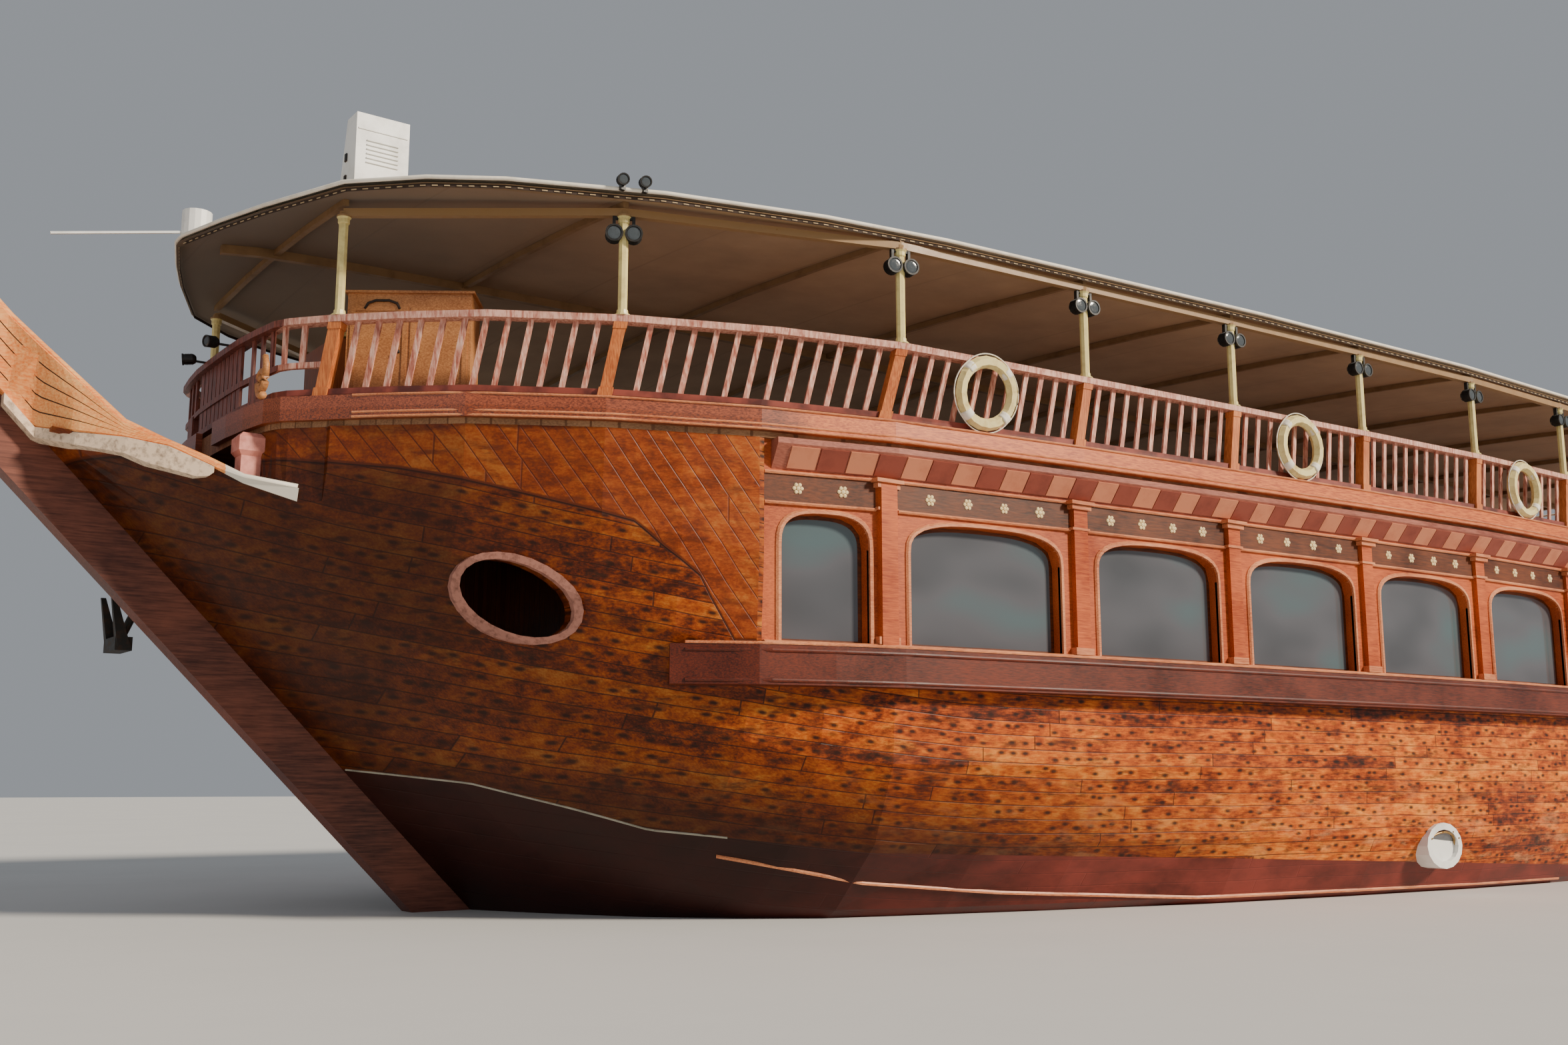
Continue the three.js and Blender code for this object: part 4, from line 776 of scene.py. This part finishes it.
def addPanels():
    g = gallery
    low, high = g["panel"]
    panels, frames, caps, rosette = bmesh.new(), bmesh.new(), bmesh.new(), bmesh.new()
    paths = []
    for fore, aft in zip(g["bays"], g["bays"][1:]):
        a, b = aft + g["pilasterHalf"] + 0.02, fore - g["pilasterHalf"] - 0.02
        if fore == g["bays"][0]:  # no pilaster ahead of the first bay
            b = fore - 0.03
        line = outwards([Vector((x, wallY(x), 0)) for x in np.linspace(a, b, 7)])
        sweep(panels, line, [(-0.01, low), (0.012, low), (0.012, high), (-0.01, high)])
        for z in (low - 0.02, high - 0.012):
            sweep(frames, line, [(out, z + rise) for out, rise in g["panelEdge"]])
        count = round((b - a) / g["rosetteRoom"])
        middle, reach = (a + b) / 2, g["rosettePitch"] * (count - 1) / 2 + 0.002
        row = outwards([Vector((x, wallY(x), 0)) for x in np.linspace(middle - reach, middle + reach, 5)])
        paths += bothSides([p + side * 0.012 + up * ((low + high) / 2 + 0.005) for p, side in row])
    for x in g["bays"][1:-1]:
        for z, tall, out in g["cap"]:
            addBox(caps, (x, wallY(x + 0.2) + out / 2, z), (0.22 + 2 * (out - 0.055), out, tall))
    r = g["rosette"]
    addTurned(rosette, (0, 0, 0), (0, 1, 0), [(0, 0.35 * r), (0.014, 0.32 * r), (0.02, 0.12 * r)], 8)
    for petal in circle(Vector(), Vector((1, 0, 0)), up, r * 0.64, 6):
        addTurned(rosette, petal, (0, 1, 0), [(0, 0.34 * r), (0.008, 0.3 * r), (0.013, 0.12 * r)], 6)
    finishPiece("rosettePanels", panels, carvedPanel, twins=True)
    finishPiece("panelMouldings", frames, mouldingWood, twins=True)
    finishPiece("pilasterCaps", caps, mouldingWood, twins=True)
    repeatAlong("rosettes", paths, rosette, g["rosettePitch"], rosettePaint)


def addChequers():
    long = gallery["block"]
    pale, brown = bmesh.new(), bmesh.new()
    for i, x in enumerate(np.arange(*gallery["blockRun"], long)):
        ends = [onSide("cornice_port", x + d, 4.76) for d in (0.0, long)]
        if None in ends:
            continue
        along = (ends[1] - ends[0]).normalized()
        slope = (up.cross(along) * 0.62 + up * 0.78).normalized()  # up the cornice's leaning face
        face = slope.cross(along) if slope.cross(along).y > 0 else along.cross(slope)
        centre = (ends[0] + ends[1]) / 2 + face * 0.006
        addBox(pale if i % 2 else brown, centre, gallery["blockSize"], (along, face, slope))
    finishPiece("paleBlocks", pale, blockPale, twins=True)
    finishPiece("brownBlocks", brown, blockBrown, twins=True)


strips = {  # runs: first x, last x, points; sections: outward, up
    "wall": (-15.2, 8.93, 60), "fascia": (-15.5, 12.6, 80), "fasciaZ": 5.12,
    "wale": (-16.8, 9.73, 70), "waleZ": 2.6,
    "sill": [(-0.01, 2.801), (0.07, 2.801), (0.07, 2.85), (0.045, 2.862), (-0.01, 2.862)],
    "fasciaBeads": [(5.235, 0.014), (5.012, 0.014), (5.06, 0.008)],  # height, how proud
    "waleCap": [(-0.06, 2.801), (0.008, 2.801), (0.012, 2.815), (0.0, 2.83), (-0.06, 2.83)],
    "waleBeads": (2.42, 2.72),
    "bead": [(-0.01, 0), (0.012, 0.006), (0.018, 0.022), (0.012, 0.038), (-0.01, 0.044)],
    "onHull": [  # name, heights, first x, last x, half the height, finish
        ("bowPaintLine", hullFinish["paintTop"], 8.8, 11.9, 0.011, paintLine),
        ("rubbingBattens", hullFinish["battens"], -5.0, 8.8, 0.02, mouldingWood)],
}


def addStrip(name, line, sections, material):
    bm = bmesh.new()
    for section in sections:
        sweep(bm, line, section)
    finishPiece(name, bm, material, twins=True)


def addStrips():
    s = strips
    wall = outwards([Vector((x, wallY(x), 0)) for x in np.linspace(*s["wall"])])
    addStrip("saloonSill", wall, [s["sill"]], mouldingWood)
    beads = [[(-0.005, z), (out, z + 0.004), (out + 0.006, z + 0.014), (out, z + 0.024), (-0.005, z + 0.028)]
             for z, out in s["fasciaBeads"]]
    fascia = sideLine("fascia_port", np.linspace(*s["fascia"]), s["fasciaZ"])
    addStrip("fasciaBeads", fascia, beads, mouldingWood)
    wale = sideLine("wale_port", np.linspace(*s["wale"]), s["waleZ"])
    addStrip("waleCapping", wale, [s["waleCap"]], mouldingWood)
    beads = [[(out, z + rise) for out, rise in s["bead"]] for z in s["waleBeads"]]
    addStrip("waleBeads", wale, beads, waleWood)
    for name, table, first, last, tall, finish in s["onHull"]:
        batten = [(-0.03, -tall), (tall * 0.6, -tall), (tall, 0.0), (tall * 0.6, tall), (-0.03, tall)]
        xs = np.linspace(first, last, 40)
        points = [onSide("hull", x, z) for x, z in zip(xs, np.interp(xs, *zip(*table)))]
        addStrip(name, outwards([p for p in points if p is not None]), [batten], finish)


addWindowMouldings()
addPanels()
addChequers()
addStrips()
print("gallery pieces made")

# Rail: cased posts at the canopy's feet, collars, floodlights, a scrolled knee and a dark edge round the
# nose, partly painted shade

rail = {"inset": 0.075, "deck": 5.2, "top": 6.1,
        "casing": [(5.262, 6.028, 0.062), (5.262, 5.36, 0.075), (5.96, 6.028, 0.07)],  # low, high, half width
        "foot": [(0.001, 0.085), (0.013, 0.085), (0.021, 0.062), (0.061, 0.058)],  # above the rail, radius
        "head": [(0.98, 0.054), (0.99, 0.06), (1.03, 0.06), (1.05, 0.075), (1.07, 0.075)]}


def edgeAt(x):  # the deck's port edge and its outward direction
    def edge(place):
        return onSide("upper_deck", place, 5.1) or touch("upper_deck", (15, 0.3, 5.1), (-1, 0, 0))[0]

    run = (edge(min(x + 0.06, 13.28)) - edge(x - 0.06)).normalized()
    return edge(x), Vector((-run.y, run.x, 0))


def postPoint(post, z):
    x, aft, outward = post
    point, out = edgeAt(x)
    share = (z - rail["deck"]) / (rail["top"] - rail["deck"])
    inset = out * rail["inset"]
    return Vector((x - inset.x - aft * share, point.y - inset.y + outward * share, z)), out


def addPosts():
    casings, collars = bmesh.new(), bmesh.new()
    for post in railPosts:
        for low, high, half in rail["casing"]:
            rings = []
            for z in (low, high):
                centre, out = postPoint(post, z)
                along = Vector((out.y, -out.x, 0))
                rings.append([centre + (along * i + out * j) * half
                              for i, j in ((-1, -1), (1, -1), (1, 1), (-1, 1))])
            joinRings(casings, rings)
        for profile in (rail["foot"], rail["head"]):
            addTurned(collars, postPoint(post, rail["top"])[0], up, profile, 12)
    finishPiece("postCasings", casings, postWood, twins=True)
    finishPiece("canopyPostTrim", collars, framePaint, twins=True)


lamp = {
    "away": 0.1, "z": 6.96, "size": (0.082, 0.13), "fins": 5,  # sizes: radius, depth
    "bracket": (0.03, 0.05, 0.16), "arm": (0.13, 0.04, 0.03),
    "pair": [(10.56, 4.15, 7.43), (10.34, 4.22, 7.43)],
    "pairAim": (0.3, 0.93, -0.2), "pairSize": (0.055, 0.11),
    "nose": (13.45, 0.43, 6.12), "noseAim": (0.9, 0.3, -0.1), "noseSize": (0.06, 0.12),
    "can": [(-0.62, 0.45), (-0.5, 0.8), (-0.3, 1), (0.5, 1), (0.52, 1.12), (0.66, 1.12), (0.66, 0.9),
            (0.56, 0.86)],  # shares of the depth and the radius
    "pane": [(0.5, 0.5), (0.585, 0.84), (0.61, 0.6), (0.62, 0.2)],
}


def addLamp(metal, clear, centre, aim, size):  # a can with fins, a bezel and a glass
    radius, deep = size
    shapes = [(metal, lamp["can"]), (clear, lamp["pane"])]
    for k in range(lamp["fins"]):
        at = -0.25 + k * 0.14
        shapes.append((metal, [(at, 0.9), (at, 1.1), (at + 0.04, 1.1), (at + 0.04, 0.9)]))
    for bm, profile in shapes:
        addTurned(bm, centre, aim, [(along * deep, share * radius) for along, share in profile])


def addFloodlights():
    metal, clear = bmesh.new(), bmesh.new()
    for post in railPosts[1:]:
        foot, out = postPoint(post, rail["top"])
        along = Vector((out.y, -out.x, 0))
        for side in (-1, 1):
            centre = Vector((foot.x, foot.y, lamp["z"])) + along * side * lamp["away"]
            addLamp(metal, clear, centre, out, lamp["size"])
            addBox(metal, centre + up * 0.11, lamp["bracket"], (along, out, up))
            addBox(metal, centre + up * 0.18 - along * side * 0.05, lamp["arm"], (along, out, up))
    for at in lamp["pair"]:  # on the canopy's edge
        addLamp(metal, clear, at, lamp["pairAim"], lamp["pairSize"])
        addBox(metal, Vector(at) - up * 0.07, (0.05, 0.05, 0.08))
    addLamp(metal, clear, lamp["nose"], lamp["noseAim"], lamp["noseSize"])  # on an arm ahead of the nose
    addBox(metal, Vector(lamp["nose"]) - Vector((0.11, 0, 0.012)), (0.22, 0.03, 0.02))
    finishPiece("floodlightHousings", metal, lampBlack, twins=True)
    finishPiece("floodlightGlasses", clear, lampGlass, twins=True)


nose = {
    "x": 13.225, "half": 0.9, "top": 6.101,
    "capping": [(-0.08, 0), (0.03, 0), (0.035, 0.012), (-0.08, 0.012)],
    "knee": (13.25, 1.60, 5.455), "turns": 1.8, "steps": 24, "opening": (0.02, 0.13), "scroll": 0.04,
    "stalk": [(0.10, 0.04), (0.10, 0.16), (0.05, 0.26)], "stalkRadius": 0.035,
}


def addNose():
    capping, knee = bmesh.new(), bmesh.new()
    joinRings(capping, [[(nose["x"] + dx, y, nose["top"] + dz) for dx, dz in nose["capping"]]
                        for y in np.linspace(-nose["half"], nose["half"], 13)])
    scroll = []
    first, wider = nose["opening"]
    for share in np.linspace(0, 1, nose["steps"] + 1):
        turn, radius = math.tau * nose["turns"] * share, first + wider * share
        scroll.append((radius * math.cos(turn), radius * math.sin(turn)))
    for points, radius in ((scroll, nose["scroll"]), (nose["stalk"], nose["stalkRadius"])):
        addTube(knee, [Vector(nose["knee"]) + Vector((0, a, b)) for a, b in points], radius, 8)
    # the dark capping is partly painted shade along the nose's top edge
    finishPiece("noseCapping", capping, darkTrimAndShade)
    finishPiece("noseKnee", knee, cabinetWood, smooth=True)


addPosts()
addFloodlights()
addNose()
print("rail pieces made")

# Life rings: taped at four places, with a grab line looped between the tapes

ring = {"tube": 0.0667, "tape": 0.09, "thick": 0.005, "rope": 0.008, "slack": 0.014}


def addRingGear():
    tapes, ropes = bmesh.new(), bmesh.new()
    for name in [n for n in nodes if n.startswith("life_ring")]:
        points = np.array([v.co[:] for v in nodes[name].data.vertices])
        centre = points.mean(axis=0)
        normal = Vector(np.linalg.svd(points - centre)[2][2])  # across the flat of the ring
        if normal.y * centre[1] < 0:
            normal = -normal
        middle = Vector((points.min(axis=0) + points.max(axis=0)) / 2)
        reach = max((Vector(p) - middle).length for p in points) - ring["tube"]
        side = normal.cross(up).normalized()
        high = side.cross(normal).normalized()
        spot = lambda turn, radius: middle + (side * math.cos(turn) + high * math.sin(turn)) * radius
        for k in range(4):
            at, half = math.pi / 4 + k * math.pi / 2, ring["tape"] / 2 / reach
            arc = [spot(at + half * s, reach) for s in (-1, -0.5, 0, 0.5, 1)]
            addTube(tapes, arc, ring["tube"] + ring["thick"], 12)
        loop = []
        for k in range(64):
            turn = math.tau * k / 64
            swing = ring["slack"] * abs(math.sin(2 * turn))
            loop.append(spot(turn + math.pi / 4, reach + ring["tube"] + ring["rope"] + swing))
        addTube(ropes, loop, ring["rope"], 6, closed=True)
    finishPiece("ringTapes", tapes, edgeTrim, smooth=True)
    finishPiece("ringGrabLines", ropes, ropeFibre, smooth=True)


addRingGear()
print("life rings fitted")

# Portholes: a dark glass with a clamping ring and bolts

porthole = {  # places from the oval's edge: wider, outward
    "xs": (-1.43, -9.2), "z": 0.625, "half": (0.41, 0.30), "pane": [(-0.10, 0.006), (-0.10, 0.03)],
    "rim": (-0.085, 0.04), "rimRadius": 0.014, "boltRing": (-0.045, 0.088), "bolts": 10,
    "bolt": [(0, 0.013), (0.008, 0.012), (0.011, 0.006)],
}


def addPortholes():
    p = porthole
    panes, bolts, rims = bmesh.new(), bmesh.new(), bmesh.new()
    for x in p["xs"]:
        spot, normal = touch("hull", (x, 9, p["z"]))
        high = (up - normal * up.dot(normal)).normalized()
        along = high.cross(normal).normalized()

        def oval(grow, out, count=32):
            long, tall = [half + grow for half in p["half"]]
            return circle(spot + normal * out, along * long, high * tall, 1.0, count)

        joinRings(panes, [oval(*place) for place in p["pane"]])
        addTube(rims, oval(*p["rim"]), p["rimRadius"], 8, closed=True)
        for foot in oval(*p["boltRing"], p["bolts"]):
            addTurned(bolts, foot, normal, p["bolt"], 6)
    finishPiece("portholeGlass", panes, glass, twins=True)
    finishPiece("portholeRims", rims, bronze, twins=True, smooth=True)
    finishPiece("portholeBolts", bolts, bronze, twins=True)


addPortholes()

# Roof box: two seams, louvres below the top and hinges ahead

roofBox = {
    "seams": (0.3, 0.18), "seamSize": (0.56, 0.012, 0.014), "louvres": 6, "firstLouvre": 0.30, "pitch": 0.05,
    "louvreSize": (0.36, 0.02, 0.012), "hinges": (0.45, 0.7), "hingeSize": (0.02, 0.05, 0.09), "middle": 0.3,
}


def addRoofBoxTrim():
    r = roofBox
    low, high = [Vector(v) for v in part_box("roof_box")]
    below, above = r["seams"]
    rows = [(z, 0.004, r["seamSize"]) for z in (low.z + below, high.z - above)]
    louvres = [high.z - r["firstLouvre"] - k * r["pitch"] for k in range(r["louvres"])]
    rows += [(z, 0.006, r["louvreSize"]) for z in louvres]
    seams, metal = bmesh.new(), bmesh.new()
    for z, out, size in rows:
        x = low.x + r["middle"]
        addBox(seams, (x, onSide("roof_box", x, z).y + out, z), size)
    for z in r["hinges"]:
        addBox(metal, (high.x + 0.006, (low.y + high.y) / 2, low.z + z), r["hingeSize"])
    finishPiece("roofBoxSeams", seams, gelCoat)
    finishPiece("roofBoxHinges", metal, iron)


# Deck cabinet: framed doors on both faces with knobs, a top board and a curved handle

cabinet = {
    "foot": (11.85, 2.08, 5.2003), "turn": -0.6, "size": (1.28, 0.5, 1.25), "top": 0.026, "overhang": 0.03,
    "doorPitch": 0.62, "doorZ": 0.6, "door": (0.54, 0.49, 1.02, 0.02), "knobPitch": 0.2, "knobZ": 0.62,
    "knob": [(0, 0.014), (0.02, 0.01), (0.034, 0.02), (0.044, 0.012)],
    "handle": [(-0.18, 0.0), (-0.15, 0.06), (-0.07, 0.09), (0.07, 0.09), (0.15, 0.06), (0.18, 0.0)],
    "handleAt": (0.28, 0.264, 1.08), "handleRadius": 0.014,
}


def addCabinetTrim():
    c = cabinet
    along = Vector((math.cos(c["turn"]), math.sin(c["turn"]), 0))
    axes = (along, up.cross(along), up)
    spot = lambda *steps: Vector(c["foot"]) + sum((axis * step for axis, step in zip(axes, steps)), Vector())
    boards, handle = bmesh.new(), bmesh.new()
    long, deep, tall = c["size"]
    for face in (-1, 1):
        for k in (-0.5, 0.5):
            y = face * deep / 2
            addPanelFrame(boards, spot(k * c["doorPitch"], y, c["doorZ"]), *c["door"], axes)
            addTurned(handle, spot(k * c["knobPitch"], y, c["knobZ"]), axes[1] * face, c["knob"], 10)
    wider = 2 * c["overhang"]
    addBox(boards, spot(0, 0, tall + c["top"] / 2), (long + wider, deep + wider, c["top"]), axes)
    x, y, z = c["handleAt"]
    addTube(handle, [spot(x + dx, y, z + dz) for dx, dz in c["handle"]], c["handleRadius"], 8)
    finishPiece("cabinetFrames", boards, cabinetWood)
    finishPiece("cabinetHandles", handle, iron, smooth=True)


# Helm: a compass and two throttle levers on the console, a cap on the wheel's hub; profiles: along, radius

helm = {
    "compass": 0.22,
    "bowl": [(0, 0.11), (0.02, 0.11), (0.03, 0.085), (0.09, 0.08), (0.1, 0.09), (0.115, 0.09)],
    "dial": [(0.115, 0.08), (0.14, 0.065), (0.155, 0.035), (0.16, 0.01)],
    "levers": (-0.2, -0.27), "stick": [(0, 0), (0.03, 0.09), (0.06, 0.15)], "stickRadius": 0.008,
    "knob": [(-0.012, 0.008), (0, 0.018), (0.012, 0.018), (0.022, 0.006)],
    "wheel": 6.07, "cap": [(-0.02, 0.07), (0.006, 0.065), (0.014, 0.03), (0.018, 0.01)],
}


def addHelmGear():
    low, high = [Vector(v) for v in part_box("helm_console")]
    middle = (low.x + high.x) / 2
    bowl, dial, levers, hub = bmesh.new(), bmesh.new(), bmesh.new(), bmesh.new()
    addTurned(bowl, (middle, helm["compass"], high.z), up, helm["bowl"], 20)
    addTurned(dial, (middle, helm["compass"], high.z), up, helm["dial"], 20)
    for y in helm["levers"]:
        stick = [Vector((middle - dx, y, high.z + dz)) for dx, dz in helm["stick"]]
        addTube(levers, stick, helm["stickRadius"], 6)
        addTurned(levers, stick[-1], up, helm["knob"], 10)
    addTurned(hub, (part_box("helm_wheel")[0][0] - 0.001, 0, helm["wheel"]), (-1, 0, 0), helm["cap"], 20)
    finishPiece("compassBowl", bowl, bronze, smooth=True)
    finishPiece("compassGlass", dial, lampGlass, smooth=True)
    finishPiece("throttleLevers", levers, bronze, smooth=True)
    finishPiece("wheelHubCap", hub, bronze, "helm_wheel", smooth=True)


# Doors: two framed panels and a knob on each leaf

door = {
    "panels": ((3.02, 0.78), (3.95, 0.82)),  # height of the middle, tall
    "middle": 0.40, "wide": 0.5, "deep": 0.024, "field": (0.3, 0.012), "margin": 0.22, "knobAt": (0.09, 3.5),
    "knob": [(0, 0.03), (0.006, 0.028), (0.02, 0.012), (0.03, 0.02), (0.04, 0.008)],
}


def addDoorPanels():
    axes = (Vector((0, 1, 0)), Vector((1, 0, 0)), up)
    for side, name in ((1, "door_port"), (-1, "door_starboard")):
        low, high = [Vector(v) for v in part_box(name)]
        x = touch(name, (-20, (low.y + high.y) / 2, 3.0), (1, 0, 0))[0].x
        boards, pulls = bmesh.new(), bmesh.new()
        for z, tall in door["panels"]:
            middle = Vector((x, side * door["middle"], z))
            addPanelFrame(boards, middle, door["wide"], door["wide"], tall, door["deep"], axes)
            addBox(boards, middle, (*door["field"], tall - door["margin"]), axes)
        y, z = door["knobAt"]
        addTurned(pulls, (x, side * y, z), (-1, 0, 0), door["knob"], 12)
        finishPiece(name + "Panels", boards, mouldingWood, name)
        finishPiece(name + "Pull", pulls, bronze, name)


# Stern bulwark's capping, and iron straps with bolt heads on the rudder's blade

sternCap = {
    "sideRun": (-17.3, -15.75, 10), "sideZ": 3.3, "transomRun": (0.0, 3.85, 12), "transomZ": 3.36,
    "sides": [(-0.15, 3.4005), (0.035, 3.4005), (0.035, 3.44), (0.02, 3.455), (-0.135, 3.455), (-0.15, 3.44)],
    "transom": [(-0.15, 3.4005), (0.035, 3.4005), (0.035, 3.455), (-0.15, 3.455)],
}
strap = {
    "heights": (-1.45, -0.45), "reach": (0.25, 1.15), "thick": 0.012, "tall": 0.09,
    "bolt": [(0, 0.018), (0.008, 0.016), (0.012, 0.006)],
}


def addSternTrim():
    bm = bmesh.new()
    s = sternCap
    sweep(bm, sideLine("stern_bulwark", np.linspace(*s["sideRun"]), s["sideZ"]), s["sides"])
    ys = np.linspace(*s["transomRun"])
    hits = [touch("stern_bulwark", (-25, y, s["transomZ"]), (1, 0, 0))[0] for y in ys]
    across = [(Vector((h.x, h.y, 0)), Vector((-1, 0, 0))) for h in hits if h is not None]
    sweep(bm, across, s["transom"])
    finishPiece("sternCapping", bm, mouldingWood, twins=True)


def addRudderStraps():
    bm = bmesh.new()
    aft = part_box("rudder")[0][0]
    xs = [aft + d for d in np.linspace(*strap["reach"], 6)]
    for z in strap["heights"]:
        for side in (1, -1):
            hits = [touch("rudder", (x, side * 3, z), (0, -side, 0))[0] for x in xs]
            hits = [hit for hit in hits if hit is not None]
            if len(hits) > 2:
                for a, b in zip(hits, hits[1:]):
                    middle = (a + b) / 2
                    size = ((b - a).length, strap["thick"], strap["tall"])
                    addBox(bm, (middle.x, middle.y + side * 0.004, z), size)
                for p in hits[1::2]:
                    addTurned(bm, (p.x, p.y + side * 0.01, z), (0, side, 0), strap["bolt"], 8)
    finishPiece("rudderStraps", bm, iron, "rudder")


addRoofBoxTrim()
addCabinetTrim()
addHelmGear()
addDoorPanels()
addSternTrim()
addRudderStraps()
print("fittings made")

# Prow: planks and caulking on the raised sides, a capping along their edge, cheeks under the deck's nose

prow = {
    "edge": [(12.95, 1.99, 4.33), (13.4, 1.70, 4.43), (13.7, 1.48, 4.61), (14.05, 1.24, 4.79),
             (14.4, 1.0, 4.99), (14.8, 0.72, 5.43), (15.1, 0.53, 5.75), (15.4, 0.33, 6.08),
             (16.2, 0.27, 6.9), (16.65, 0.26, 7.35)],  # x, half width, height
    "sheer": [(13.4, 4.38), (13.7, 4.56), (14.05, 4.74), (14.4, 4.83), (14.8, 4.89), (15.1, 4.98),
              (15.4, 5.29), (16.2, 6.05), (16.65, 6.5)],  # x, height
    "run": (13.62, 16.56, 50), "strakes": 5, "proud": 0.018, "capping": 0.036, "stemHalf": 0.244,
    "cheekRun": (12.66, 13.2, 8), "cheek": (4.2005, 4.949), "cheekThick": 0.05,
}


def addProwPlanks():  # strakes proud of the frame, with dark caulking between them
    xs = np.linspace(*prow["run"])
    edgeX, edgeY, edgeZ = zip(*prow["edge"])
    low = np.interp(xs, *zip(*prow["sheer"])) + 0.01
    high = np.interp(xs, edgeX, edgeZ) - 0.012
    head = np.maximum(np.interp(xs, edgeX, edgeY), prow["stemHalf"])
    hits = [onSide("prow_bulwark_port", x, z) for x, z in zip(xs, low)]
    foot = [hit.y if hit else prow["stemHalf"] for hit in hits]
    line = lambda share: [Vector((x, a + (b - a) * share, c + (d - c) * share))
                          for x, a, b, c, d in zip(xs, foot, head, low, high)]
    boards, caulk = bmesh.new(), bmesh.new()
    for k in range(prow["strakes"]):
        bands = [(boards, k + 0.05, k + 0.95, prow["proud"])]
        bands += [(caulk, k - 0.07, k + 0.07, prow["proud"] - 0.006)] if k else []
        for bm, first, last, proud in bands:
            under, over = line(first / prow["strakes"]), line(last / prow["strakes"])
            rings = []
            for i in range(len(xs)):
                run = under[min(i + 1, len(xs) - 1)] - under[max(i - 1, 0)]
                out = run.cross(over[i] - under[i]).normalized()
                out = out if out.y > 0 else -out
                rings.append([under[i] - out * 0.02, under[i] + out * proud, over[i] + out * proud,
                              over[i] - out * 0.02])
            joinRings(bm, rings)
    finishPiece("prowPlanks", boards, sunlitProwWood, twins=True)
    finishPiece("prowCaulking", caulk, darkTrimAndShade, twins=True)


def addProwTrim():
    capping, cheeks = bmesh.new(), bmesh.new()
    addTube(capping, [(x, max(y, 0.255) - 0.045, z + 0.012) for x, y, z in prow["edge"]], prow["capping"], 8)
    low, high = prow["cheek"]
    rings = []
    for x in np.linspace(*prow["cheekRun"]):  # closing the side between the sheer and the deck's nose
        foot, head = onSide("hull", x, 4.19).y - 0.005, onSide("upper_deck", x, 5.0).y - 0.005
        rings.append([(x, y, z) for y, z in ((foot - prow["cheekThick"], low), (foot, low),
                                             (head, high), (head - prow["cheekThick"], high))])
    joinRings(cheeks, rings)
    finishPiece("prowCapping", capping, sunlitProwWood, twins=True, smooth=True)
    finishPiece("noseCheeks", cheeks, hullWood, twins=True)


addProwPlanks()
addProwTrim()
print("prow trimmed")

# Stage: a pale floor at z = 0 and soft light from the camera's side

stage = {
    "floor": 200, "world": "#DCE2EA", "worldStrength": 0.42,
    "lights": [  # name, kind, place, aim, power, settings
        ("key", "SUN", (-18, 30, 22), (0, 0, 3), 5.2, {"angle": math.radians(8), "color": (1.0, 0.89, 0.74)}),
        ("fill", "AREA", (34, 16, 14), (8, 0, 4), 500, {"size": 16})],
}


def addLight(name, kind, at, aim, energy, settings):
    source = linked(name, bpy.data.lights.new(name, kind))
    source.data.energy = energy
    for key, value in settings.items():
        setattr(source.data, key, value)
    source.location = at
    source.rotation_euler = (Vector(aim) - Vector(at)).to_track_quat("-Z", "Y").to_euler()


def addStage():
    bm = bmesh.new()
    bmesh.ops.create_grid(bm, x_segments=1, y_segments=1, size=stage["floor"])
    floor = linked("floor", meshFrom("floor", bm))
    floor.data.materials.append(paintFinish("paleFloor", "#D6D5D2", "#CFCECB", 0.9, 4.0))
    world = bpy.data.worlds.new("studio")
    bpy.context.scene.world = world
    world.use_nodes = True
    world.node_tree.nodes["Background"].inputs[0].default_value = srgb(stage["world"])
    world.node_tree.nodes["Background"].inputs[1].default_value = stage["worldStrength"]
    for light in stage["lights"]:
        addLight(*light)


addStage()
